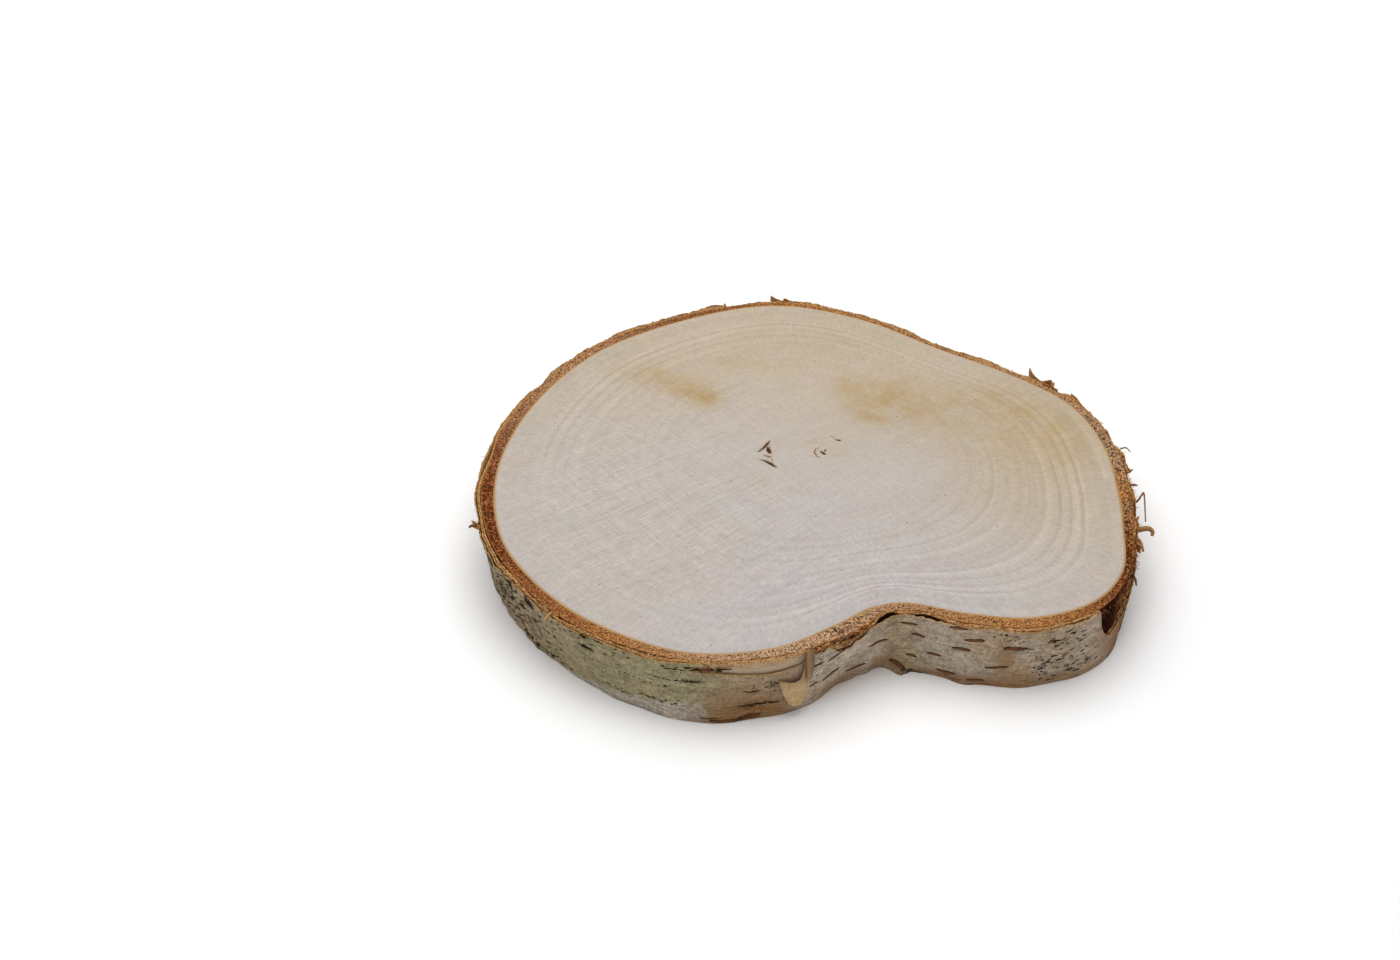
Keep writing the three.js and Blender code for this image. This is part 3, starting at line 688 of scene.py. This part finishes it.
def wood_paint():
    """Pale wood: rings, saw marks, stains, dark checks and small specks."""
    paint = Paint("wood_end_grain", 0.72, 0.25)
    growth, warm, clear, sawn, stain, dark = paint.attributes("growth warm clear sawn stain dark")
    warm = paint.linear(paint.less(paint.noise(0.03), 0.5), 0.5, warm)
    warm = paint.larger(paint.math("MINIMUM", warm, 1.0), 0.0)
    paint.colour = paint.mix("b7b1ae", "baab96", warm)
    paint.tint("bcaba3", paint.remap(paint.noise(0.1, 3, 0.6), 0.46, 0.68, 0, 0.45))
    paint.vary(paint.noise(0.16, 3, 0.6), 0.14)
    paint.tint("a7894d", stain, paint.remap(paint.noise(0.2, 4, 0.65), 0.25, 0.7, 0.5, 1.4), 0.8)

    drift = paint.linear(paint.noise(0.025), 0.9, paint.product(paint.noise(0.3), 0.2))
    swell = paint.product(paint.math("SINE", paint.product(growth, 23.0)), 0.5)
    phase = paint.math("ADD", paint.linear(growth, 17.0, drift), swell)
    ring = paint.math("FRACT", phase)
    number = paint.math("FLOOR", phase)
    each = paint.node("TexWhiteNoise", {"W": number}, noise_dimensions="1D").outputs["Value"]
    late = paint.product(paint.remap(ring, 0.45, 0.86), paint.remap(ring, 1.0, 0.88))
    late = paint.product(late, paint.product(paint.remap(each, 0, 1, 0.25, 1), clear))
    paint.tint("9d8f78", late, warm, 0.5)
    deep = paint.linear(paint.less(1.0, warm), 0.08, 0.06)
    paint.light(paint.less(1.0, paint.product(late, deep)))
    bands = paint.node("CombineXYZ", {0: paint.product(growth, 42.0), 1: drift}).outputs[0]
    paint.vary(paint.noise(1.0, 2, 0.6, at=bands), clear, 0.55)
    paint.vary(paint.noise((80, 80, 0.4), 2, 0.6, at=paint.attribute("ray", "Color")), 0.32)

    wide = paint.noise((0.02, 0.45, 0.3), 3, 0.6, -36)
    blade = paint.noise((0.09, 2.3, 0.3), 3, 0.7, -36)
    swing = paint.noise((0.06, 1.7, 0.3), 3, 0.65, 51)
    for marks, size in ((wide, 0.22), (blade, 0.62), (swing, 0.42)):
        paint.vary(marks, sawn, size)
    pores = paint.noise(2.2, 3, 0.7)
    paint.vary(pores, 0.5)

    cell = paint.cells(paint.here, 0.2)
    chosen = paint.math("GREATER_THAN", cell["Color"], 0.4)
    paint.tint("665c50", paint.remap(cell["Distance"], 0.03, 0.07, 1, 0), chosen, 0.7)
    paint.tint("c39d6c", paint.remap(growth, 0.991, 0.997, 0, 0.85))
    paint.tint("94724a", paint.remap(dark, 0.0, 0.4))
    paint.tint("341d10", paint.remap(dark, 0.3, 0.9))
    return paint.finish(paint.math("ADD", blade, paint.product(pores, 0.4)), 0.05)


def inner_bark_paint():
    """Granular brown inner bark, with dark hollows and pale grains, and painted shade on its outer face and
    in the notch.
    """
    paint = Paint("inner_bark_grains", 0.95, 0.02)
    chunky, across, shade = paint.attributes("chunky across shade")
    grain = paint.cells(paint.warped(paint.here, 1.6, 0.5), 2)
    tone = paint.node("SeparateColor", {0: grain["Color"]})
    paint.colour = paint.attribute("tint", "Color")
    paint.vary(tone.outputs[0], paint.linear(chunky, 0.8, 0.5))
    paint.tint("d6b08a", paint.remap(tone.outputs[2], 0.86, 0.94), paint.linear(chunky, 0.2, 0.3))
    lump = paint.noise(0.9, 3, 0.7, at=paint.warped(paint.here, 1, 1.2))
    paint.vary(lump, paint.linear(chunky, 2.4, 0.6))
    paint.tint("c98a4c", paint.remap(lump, 0.56, 0.64), chunky, 0.6)
    paint.tint("240d05", paint.remap(lump, 0.48, 0.4), chunky, 0.85)
    fine = paint.noise(1.7, 3, 0.7)
    paint.tint("3a1b0c", paint.remap(fine, 0.5, 0.43), paint.linear(chunky, 0.1, 0.75))
    paint.vary(fine, 2.0)
    paint.vary(paint.noise(0.2, 3, 0.6), 0.4)
    paint.tint("d0a067", paint.remap(across, 0.0, 0.1, 0.7, 0))
    paint.tint("b8793c", paint.remap(across, 0.82, 1.0, 0, 0.5))
    paint.tint(paint.mix("180803", "4a210e", paint.remap(lump, 0.42, 0.66)), shade)
    return paint.finish(paint.less(fine, grain["Distance"]), 0.25)


def sheet_paint():
    """The tan papery sheets under the bark's skin."""
    paint = Paint("bark_sheets", 0.6, 0.3)
    streak = paint.noise((0.2, 0.2, 1.6), 3, 0.6)
    fine = paint.noise(1.6, 3, 0.6)
    paint.colour = paint.mix("ad987c", "b9a78c", paint.remap(streak, 0.3, 0.7))
    paint.tint(paint.mix("8a5624", "cfa268", paint.remap(fine, 0.35, 0.6)), paint.attribute("rim"))
    paint.vary(fine, 0.25)
    paint.tint("1d0f08", paint.attribute("shade"))
    return paint.finish(streak, 0.1)


def skin_paint():
    """The papery outer skin: olive, grey and cream, with streaks, black scale and brown stains."""
    paint = Paint("bark_skin", 0.85, 0.05)
    pale, brown, black, hollow, crack, rim = paint.attributes("pale brown black hollow crack rim")
    slow = paint.noise(0.08, 3, 0.6)
    mottle = paint.noise((0.3, 0.3, 0.5), 4, 0.65)
    streak = paint.noise((0.12, 0.12, 1.3), 4, 0.65)
    lines = paint.noise((0.05, 0.05, 3))
    fine = paint.noise(1.2, 4, 0.75)
    paint.colour = paint.attribute("tint", "Color")
    paint.tint("85795a", paint.remap(slow, 0.48, 0.68, 0, 0.38))
    paint.tint("a98d68", paint.remap(slow, 0.48, 0.3, 0, 0.38))
    paint.tint("b9aea8", pale, paint.remap(streak, 0.3, 0.62, 0.4, 0.9), 0.75)
    for value, size in ((mottle, 1.5), (streak, 0.9), (lines, 0.5), (fine, 2.3)):
        paint.vary(value, size)
    brown = paint.product(brown, paint.remap(mottle, 0.3, 0.6, 0.5, 1.1))
    paint.tint("885a29", brown, 0.85)
    paint.tint("3c230d", brown, paint.remap(streak, 0.53, 0.62), 0.8)

    flecks = paint.larger(paint.noise((0.8, 0.8, 1.5), 4, 0.7), paint.noise((0.42, 0.42, 0.75), 3, 0.6))
    scaly = paint.remap(paint.less(flecks, paint.less(0.71, paint.product(black, 0.25))), -0.02, 0.04)
    torn = paint.warped(paint.stretched((1, 1, 1.7)), 0.7, 1.6)
    seam = paint.cells(torn, 0.5, "DISTANCE_TO_EDGE")["Distance"]
    netted = paint.product(paint.remap(seam, 0.02, 0.1, 1, 0), paint.remap(black, 0.45, 0.9))
    dark = paint.larger(paint.larger(scaly, netted), hollow)
    paint.tint("30231a", dark, 0.84)
    paint.tint("17100a", crack, 0.95)
    paint.tint(paint.mix("94612e", "c39860", paint.remap(fine, 0.32, 0.64)), rim)
    height = paint.math("ADD", mottle, paint.product(fine, 0.6))
    return paint.finish(paint.less(height, paint.product(dark, 0.6)), 0.2)


def mark_paint(name, middle, rim):
    """A mark on the bark that is darker towards its rim."""
    paint = Paint(name, 0.9, 0.05)
    fine = paint.noise((0.5, 0.5, 2.4), 3, 0.6)
    paint.colour = paint.mix(middle, rim, paint.remap(paint.attribute("value"), 0.25, 0.9))
    paint.vary(fine, 0.5)
    return paint.finish(fine, 0.1)


def peel_paint(name, first, second, pale_and_shade):
    """Peeled bark of two mingled colours. The value brings in a third: painted shade on the tongue, and the
    pale colour of pale shreds and crumbs.
    """
    paint = Paint(name, 0.6, 0.3)
    fine = paint.noise(1.1, 3, 0.6)
    paint.colour = paint.mix(first, second, paint.remap(fine, 0.3, 0.7))
    # On the tongue this third colour is painted shade; on shreds and crumbs it is their own pale colour.
    paint.tint(pale_and_shade, paint.attribute("value"))
    paint.vary(paint.noise((0.4, 0.4, 2), 3), 0.35)
    return paint.finish(fine, 0.12)


# The wood

WOOD_PLACES = even_places(560)
WOOD_ROWS = np.concatenate([np.linspace(0.006, 0.3, 66), np.linspace(0.3, 1, 66)[1:]])
UNDER_ROWS = np.linspace(1, 0.01, 18)
RING_EASE = 0.85  # how quickly the rings lose the outline's shape towards the pith, in radians


def ring_shares(growth):
    """How far from the pith to the edge a ring lies at each place. Inner rings are rounder than the edge."""
    pith = np.array(PITH)
    reach = off_edge(WOOD_PLACES, 0, THICKNESS)[:, :2] - pith
    angle = np.unwrap(np.arctan2(reach[:, 1], reach[:, 0]))
    radius = np.hypot(*reach.T)
    turn = np.linspace(0, 2 * np.pi, 720, endpoint=False)
    even = np.interp(turn, angle, radius, period=2 * np.pi)
    waves = np.fft.rfft(even)
    order = np.arange(len(waves))
    rows = []
    for share in growth:
        smooth = np.fft.irfft(waves * np.exp(-0.5 * (order * RING_EASE * (1 - share)) ** 2), len(turn))
        rows.append(share * np.interp(angle, turn, smooth, period=2 * np.pi) / radius)
    return np.array(rows)


def stroke_cover(x, y, points):
    """How much a stroke of a given width at each point covers places on the wood, from 0 to 1."""
    cover = np.zeros_like(x)
    for (*start, wide), (*end, wide_after) in zip(points, points[1:]):
        share, away = off_line(x, y, *start, *end)
        half = (wide + (wide_after - wide) * share) / 2
        cover = np.maximum(cover, unit((half + 0.12 - away) / 0.36))
    return cover


def stain_cover(x, y):
    """How strongly the wood is stained."""
    cover = np.zeros_like(x)
    for at_x, at_y, half_wide, half_tall, turn, strength in STAINS:
        cosine, sine = math.cos(math.radians(turn)), math.sin(math.radians(turn))
        u = ((x - at_x) * cosine + (y - at_y) * sine) / half_wide
        v = ((y - at_y) * cosine - (x - at_x) * sine) / half_tall
        cover = 1 - (1 - cover) * (1 - strength * np.exp(-1.2 * (u**2 + v**2)))
    return cover


def spots(x, y, *given):
    """Round soft spots added up, each given as x, y, reach and strength."""
    return sum(much * np.exp(-((x - u) ** 2 + (y - v) ** 2) / reach**2) for u, v, reach, much in given)


def wood_looks(x, y):
    """What changes over the sawn faces.

    The rings are clear at the neck and the right, the saw's marks at the lower left, and the wood is warm
    at the back and the right. The ray is the direction from the pith and the distance from it.
    """
    reach = np.array([x - PITH[0], y - PITH[1]])
    far = np.maximum(np.hypot(*reach), 0.01)
    plain = spots(x, y, (15, -42, 38, 1), (78, -5, 46, 0.62), (-60, 45, 40, 0.5), (20, 60, 50, 0.4))
    sunny = spots(x, y, (85, -5, 38, 0.6), (20, -58, 40, -0.35), (-20, -80, 25, -0.3))
    return {
        "clear": unit((0.14 + plain) * np.clip(far / 40 - 0.6, 0.1, 1)),
        "sawn": unit(0.26 + spots(x, y, (-48, -22, 46, 0.74), (10, -45, 30, 0.3))),
        "warm": 0.3 + 0.7 * unit((y + 5) / 60) ** 1.2 + sunny,
        "ray": np.stack([*(reach / far), far, 0 * far], -1),
        "stain": stain_cover(x, y),
    }


def build_wood():
    """The wood with its two sawn faces: rings of points from the pith out, down the edge and back in."""
    pith = np.array([*PITH, 0])
    upper, lower = (off_edge(WOOD_PLACES, wood_out(WOOD_PLACES), height) for height in (THICKNESS, 0))
    top = pith + (upper - pith) * ring_shares(WOOD_ROWS)[..., None]
    under = pith + (lower - pith) * ring_shares(UNDER_ROWS)[..., None]
    top[..., 2] = THICKNESS
    under[..., 2] = 0
    x, y = top[..., 0], top[..., 1]
    dark = np.zeros_like(x)
    for shade, depth, *points in STROKES:
        cover = stroke_cover(x, y, points)
        dark = np.maximum(dark, shade * cover)
        top[..., 2] = np.minimum(top[..., 2], THICKNESS - depth * cover)
    top[-1, :, 2] -= 0.12
    rings = np.concatenate([top, under])
    rows, columns, _ = rings.shape
    ends = np.array([[*PITH, THICKNESS], [*PITH, 0]])
    points = np.concatenate([rings.reshape(-1, 3), ends])
    faces = grid_faces(rows, columns, closed_columns=True)
    last = (rows - 1) * columns
    for k in range(columns):
        ahead = (k + 1) % columns
        faces.append([rows * columns, ahead, k])
        faces.append([rows * columns + 1, last + k, last + ahead])
    attributes = {
        **wood_looks(*points[:, :2].T),
        "growth": np.concatenate([np.repeat([*WOOD_ROWS, *UNDER_ROWS], columns), [0, 0]]),
        "dark": np.concatenate([dark.ravel(), np.zeros(len(points) - dark.size)]),
    }
    faces = [face[::-1] for face in faces]
    piece = build("wood_slice", points, faces, wood_paint(), attributes)
    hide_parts("wood")


# The bark

RING_PLACES = even_places(2200)
SKIN_PLACES = even_places(1800)
SKIN_SHARES = np.concatenate([[1.0], np.linspace(0.985, 0.015, 42), [0.0]])
INSIDE_SHARES = np.array([0, 0.05, 0.11, 0.2, 0.32, 0.44, 0.56, 0.68, 0.8, 0.9, 0.97])


def grains(place, height, seed):
    """The grains of the inner bark, with smaller ones among them."""
    return noise_round(place, height, 0.8, 0.7, seed) + 0.6 * noise_round(place, height, 0.42, 0.4, seed + 1)


def build_inner_bark():
    """The granular ring between the wood and the papery bark."""
    place = RING_PLACES[None, :]
    outer = edge_at(place)[2] - PAPER - 0.1 - sum_of(CREVICES + SLITS + LAYERED, place)
    across = np.linspace(0, 1, 13)[:, None]
    down = np.linspace(0.96, 0.0, 15)[:, None]
    inner = wood_out(place)
    out = inner + across * (outer - inner)
    sink = 0.16 * (1 + grains(place, across * outer, 31)) * np.sin(np.pi * np.clip(across, 0.02, 0.98)) ** 0.4
    sink = sink * (1 + 1.6 * sum_of(CHUNKY, place))
    sawn = off_edge(place, out, THICKNESS - 0.04 - sink)
    height = THICKNESS * down
    face = off_edge(place, outer + 0.13 * grains(place, height, 41), height)
    inside = off_edge(place, inner, np.array([[0.0], [THICKNESS * 0.9]]))
    sections = np.concatenate([sawn, face, inside])
    rows = np.concatenate([across, 0.5 + 0 * down, [[0], [0]]])
    # Painted shade: the inner bark's outer face is half darkened all round and fully in the notch, and its
    # upper face a little towards the notch's outer edge.
    notch = bump(place, *NOTCH)
    face_shade = np.minimum(1, 0.55 + notch) + 0 * down
    attributes = {
        "across": rows,
        "shade": np.concatenate([0.25 * notch * across, face_shade, 0 * inside[..., 0]]),
        "tint": tints(INNER_REGIONS, place, rows),
        "chunky": np.minimum(sum_of(CHUNKY, place), 1),
    }
    piece = ring_piece("inner_bark_ring", sections, inner_bark_paint(), attributes)
    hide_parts("inner_bark")


def build_sheets():
    """Two thin papery sheets under the skin. Their edges show at the upper face as fine tan lines."""
    paint = sheet_paint()
    shares = np.array([0, 0.5, 0.93, 1, 1, 0.97, 0.85, 0.7, 0.35, 0])[:, None]
    outward = np.array([0, 0, 0, 0.15, 0.85, 1, 1, 1, 1, 1])[:, None]
    place = SKIN_PLACES[None, :]
    layered = sum_of(LAYERED, place)
    for name, out, thin, wave, torn, seed in (
        ("bark_sheet_inner", -0.98 - 0.4 * layered, 0.3 + 0.4 * layered, 0.5, 0.55, 51),
        ("bark_sheet_middle", -0.66 - 0.1 * layered, 0.26 + 0.2 * layered, 0.8, 0.8, 61),
    ):
        height = shares * edge_height(place, torn, seed)
        base = edge_at(place)[2] - sum_of(CREVICES + SLITS, place) + out + wave * relief(place, height)
        base += (0.05 + 0.12 * sum_of(RAGGED, place)) * noise_round(place, height, 2.6, 3, seed + 3)
        sections = off_edge(place, base - thin * (1 - outward), height)
        shade = np.minimum(sum_of(CREVICES, place) + 1.4 * sum_of(SLITS, place), 1)
        shade = shade * (shares < 0.99) * (outward > 0.9)
        ring_piece(name, sections, paint, {"rim": unit((shares - 0.9) / 0.09), "shade": shade})


def pale_layer(place, height):
    """Where the pale layer along the foot covers the bark."""
    limit = np.interp(place, PALE_PLACES, PALE_HEIGHTS) + 0.3 * noise_round(place, 0, 2, 1, 95)
    return unit((limit - height) / 0.35) * (limit > 0.3)


def build_skin():
    """The outermost sheet, with its relief, cracks, torn edge and colours."""
    place = SKIN_PLACES[None, :]
    strip = np.interp(place, STRIP_PLACES, STRIP_DEPTHS)
    top = np.minimum(edge_height(place, 1, 71), THICKNESS - strip - 0.1)
    inside_height = INSIDE_SHARES[:, None] * top
    height = SKIN_SHARES[:, None] * top
    edge = SKIN + 0.3 * sum_of(CREVICES, place) / 2
    depth = np.where(INSIDE_SHARES[:, None] > 0.9, edge, DEEPEST + 0.2)
    inside = off_edge(place, smooth_out(place, inside_height) - depth, inside_height)
    fray = 0.12 * (SKIN_SHARES[:, None] > 0.95) * noise_round(place, height, 0.9, 1, 81)
    outside = on_bark(place, height, np.where(SKIN_SHARES[:, None] == 1, -0.12, 0) + fray)
    sections = np.concatenate([inside, outside])
    heights = np.concatenate([inside_height, height])
    hidden = len(INSIDE_SHARES)
    rim = np.concatenate([np.ones((hidden, 1)), unit((SKIN_SHARES - 0.975) / 0.025)[:, None] * 0.9])
    cracks = cracks_at(place, heights[hidden - 1:])
    black = patches_at(BLACK_PATCHES, place, heights)
    attributes = {
        "tint": tints(BARK_REGIONS, place, heights),
        "black": black,
        "hollow": unit(-roughness(place, heights) * 2.2 - 0.55) * 0.6 * np.minimum(black, 1),
        "brown": patches_at(BROWN_PATCHES, place, heights),
        "pale": np.maximum(patches_at(PALE_PATCHES, place, heights), pale_layer(place, heights)),
        "crack": np.concatenate([np.ones((hidden - 1, len(SKIN_PLACES))), cracks]),
        "rim": rim,
    }
    piece = ring_piece("bark_skin", sections, skin_paint(), attributes)
    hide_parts("outer_bark")


def pad(pile, place, height, length, tall, rise, tilt=0.0, rows=5, columns=11, ragged=0.0):
    """A low lens on the bark: a lenticel, a dot or a dash. The value says how near its rim a point is."""
    u = np.linspace(-1, 1, columns)[None, :]
    v = np.linspace(-1, 1, rows)[:, None]
    narrow = np.sqrt(1 - 0.97 * u**2) * (1 + ragged * np.sin(6 * u + 11 * place + 2 * np.sign(v)))
    along = place + u * length / 2
    bow = 0.12 * tall * np.sin(2.3 * u + place)
    up = np.clip(height + v * narrow * tall / 2 + tilt * u * length / 2 + bow, 0.15, THICKNESS - 0.15)
    dome = (1 - u**2) * (1 - v**2)
    out = np.where(dome > 0.02, rise * dome**0.5, -0.05)
    pile.shell(on_bark(along, up, out), on_bark(along, up, -0.3 + 0 * out), 1 - dome)


def build_lenticels():
    """Every lenticel: those in plain view, and those placed by the rule."""
    pile = Pile()
    draws = seeded(5)
    marks = list(LENTICELS)
    for start, end, count in LENTICEL_STRETCHES:
        for k in range(count):
            length = 3.6 + 4.4 * next(draws)
            place = start + (k + 0.3 + 0.4 * next(draws)) / count * (end - start)
            height = 1.8 + ((k * 0.382 + 0.12 * next(draws)) % 1) * (THICKNESS - 5.4)
            marks.append((place, height, length, 0.9 + 0.5 * next(draws), 0.2 * (next(draws) - 0.5)))
    for place, height, length, tall, tilt in marks:
        pad(pile, place, height, length, tall, LENTICEL_RISE, tilt, columns=15)
    pile.finish("lenticels", mark_paint("lenticel_brown", "6e4830", "3a2416"))


def build_dashes():
    """Small dark dots and dashes of the rough bark."""
    pile = Pile()
    draws = seeded(17)
    for start, end, low, high, count, longest in DASHES:
        for place in spread(draws, start, end, count):
            height = low + (high - low) * next(draws)
            length = longest * (0.6 + 0.8 * next(draws) ** 2)
            tall = 0.4 + 0.4 * next(draws)
            tilt = 0.7 * (next(draws) - 0.35)
            pad(pile, place, height, length, tall, 0.16, tilt, rows=3, columns=6, ragged=0.3)
    for place, height, length, tall in MARKS:
        pad(pile, place, height, length, tall, 0.06, rows=9, columns=15, ragged=0.4)
    pile.finish("bark_dashes", mark_paint("bark_black", "2a1e12", "43331f"))


def build_tongue():
    """The end of the peeled strip: it folds out of the bark and hangs down, its inner side outwards."""
    pile = Pile()
    place = np.linspace(TONGUE_PLACES[0], TONGUE_PLACES[-1], 44)[None, :]
    foot, top = (np.interp(place, TONGUE_PLACES, edge) for edge in (TONGUE_FEET, TONGUE_TOPS))
    level = np.linspace(0, 1, 26)[:, None]
    height = foot + (top - foot) * level
    along = (TONGUE_PLACES[-1] - place) / (TONGUE_PLACES[-1] - TONGUE_PLACES[0])
    fall = 1 - height / THICKNESS
    fold = unit(1 - along / 0.14) ** 2
    bow = 0.5 * np.sin(np.pi * unit(along * 1.15)) + 0.35 * np.sin(5 * fall + 3 * along)
    out = 0.35 + 2.1 * fall * (0.45 + 0.55 * along) + bow * (0.4 + fall) - fold * (0.35 + 1.6 * fall)
    # Painted shade: darker towards the fold and over the upper strip, with a dark line along the crease.
    strip = unit((height - 11) / 3)
    crease = unit(1 - np.abs(along - 0.3) / 0.07)
    shade = np.clip(0.5 - 1.6 * along, 0, 0.4) + strip * crease * 0.7 + 0.45 * strip
    pile.sheet(on_bark(place, height, np.maximum(out, -0.3)), 0.3, shade)
    pile.finish("peeled_tongue", peel_paint("peeled_tongue", "b08e60", "c9ab80", "6f4a2c"))


def build_curls():
    """Curls and flakes that peel away from the bark."""
    pile = Pile()
    for number, (place, height, length, tall, turn) in enumerate(CURLS):
        share = np.linspace(0, 1, 16)[None, :]
        side = np.linspace(-0.5, 0.5, 9)[:, None]
        angle = math.radians(turn)
        radius = abs(length) / angle
        along = math.copysign(1, length) * radius * np.sin(angle * share)
        out = radius * (1 - np.cos(angle * share)) - 0.3
        torn = 0.35 * np.sin(7 * share + 3 * side + number) * share
        narrow = 1 - 0.45 * share**2 + 0.12 * np.sin(9 * side + number) * share
        up = np.clip(height + side * tall * narrow + torn, 0.3, THICKNESS - 0.25)
        ripple = 0.16 * np.sin(6 * side + 5 * share + number) * share
        thickness = CURL_THICKNESS * (1 - 0.5 * share + 0 * side)
        pile.sheet(on_bark(place + along + 0 * side, up, out + ripple), thickness)
    pile.finish("bark_curls", peel_paint("peeling_bark", "8c5720", "b57d3a", "4d2a10"))


def smooth_path(points, steps):
    """A smooth open path through points."""
    points = np.vstack([2 * points[0] - points[1], points, 2 * points[-1] - points[-2]])
    t = np.linspace(0, 1, steps, endpoint=False)[:, None]
    path = [spline(*four, t) for four in zip(points, points[1:], points[2:], points[3:])]
    return np.vstack(path + [points[-2:-1]])


def build_shreds():
    """Threads and shreds of torn bark, and fine loose fibres along the upper edge."""
    pile = Pile()
    for place, height, thickness, pale, *points in SHREDS:
        laid = np.array([on_bark(place + along, height + up, out) for along, up, out in points])
        path = smooth_path(laid, 6)
        taper = 1 - 0.45 * np.linspace(0, 1, len(path)) ** 2
        pile.rod(path, thickness / 2 * taper, 7, pale)
    draws = seeded(29)
    for _ in range(FIBRES):
        place = PERIMETER * next(draws)
        if next(draws) < 0.5:
            place = TORN[0] + TORN[1] * next(draws)
        height = THICKNESS - 0.5 - 1.2 * next(draws) - sum_of(TEARS, place) * 0.8
        reach, along, up = 0.3 + 0.9 * next(draws), 3 * (next(draws) - 0.5), 0.8 * (next(draws) - 0.4)
        points = ((0, 0, -0.4), (0.4 * along, 0.5 * up, 0.5 * reach), (along, up, reach))
        laid = np.array([on_bark(place + a, min(height + b, THICKNESS), c) for a, b, c in points])
        pile.rod(smooth_path(laid, 3), np.linspace(0.09, 0.03, 7), 4)
    pile.finish("bark_threads", peel_paint("bark_threads", "6a3b1a", "93602f", "c49a5e"))


def build_crumbs():
    """Small lumps of torn bark on the broken slope between the inner bark and the skin."""
    pile = Pile()
    draws = seeded(43)
    for start, end, count, size, pale in CRUMBS:
        for place in spread(draws, start, end, count):
            down = next(draws)
            depth = sum_of(TEARS, place) + np.interp(place, NOTCH_PLACES, NOTCH_DEPTHS)
            out = edge_at(place)[2] - (PAPER + 0.3) * (1 - down) - 0.25 - sum_of(CREVICES + SLITS, place)
            height = THICKNESS - 0.1 - 0.35 * next(draws) - down * depth
            along, up, across = (size * (next(draws) - 0.5) * reach for reach in (2, 0.5, 0.7))
            lump = off_edge(
                place + np.array([-along, 0, along]), out + np.array([-across, 0, across]),
                np.minimum(height + np.array([-up, 0.1, up]), THICKNESS + 0.05)
            )
            wide = size * (0.14 + 0.2 * next(draws))
            pile.rod(lump, (0.5 * wide, wide, 0.6 * wide), 6, 0.9 if next(draws) < pale else 0.0)
    pile.finish("bark_crumbs", peel_paint("bark_crumbs", "5a2d12", "b06c2e", "d0a56a"))


# The stage

def build_floor():
    """A plain pale floor."""
    corners = [(x * FLOOR_HALF, y * FLOOR_HALF, 0) for x, y in ((-1, -1), (1, -1), (1, 1), (-1, 1))]
    mesh = bpy.data.meshes.new("floor")
    mesh.from_pydata(corners, [], [(0, 1, 2, 3)])
    paint = Paint("floor_white", 1.0, 0.0)
    paint.surface.inputs["Base Color"].default_value = FLOOR_COLOUR
    mesh.materials.append(paint.material)
    new_object("floor", mesh)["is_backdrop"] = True


def build_light():
    """Soft studio light from above and a little behind, with a pale surround."""
    world = bpy.data.worlds.new("studio")
    world.use_nodes = True
    surround = world.node_tree.nodes["Background"].inputs
    surround["Color"].default_value = (1, 1, 1, 1)
    surround["Strength"].default_value = SURROUND_STRENGTH
    bpy.context.scene.world = world
    data = bpy.data.lights.new("overhead", "AREA")
    data.size = LIGHT_SIZE
    data.energy = LIGHT_POWER
    light = new_object("overhead", data)
    light.location = LIGHT_PLACE
    light.rotation_euler = (-mathutils.Vector(LIGHT_PLACE)).to_track_quat("-Z", "Y").to_euler()
    bpy.context.scene.view_settings.view_transform = "Standard"


def build_camera():
    """The camera at the photograph's place and angle."""
    data = bpy.data.cameras.new("camera")
    data.lens = CAMERA_LENS
    data.sensor_width = 36
    camera = new_object("camera", data)
    camera.location = ((np.array(CAMERA_PLACE) + SHIFT) * MM).tolist()
    camera.rotation_euler = (math.radians(CAMERA_TILT), 0, 0)
    bpy.context.scene.camera = camera


build_camera()
build_wood()
build_inner_bark()
build_sheets()
build_skin()
build_lenticels()
build_dashes()
build_tongue()
build_curls()
build_shreds()
build_crumbs()
build_floor()
build_light()

visual_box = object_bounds()
[[list(corner) for corner in box] for box in (cad_box, visual_box)]
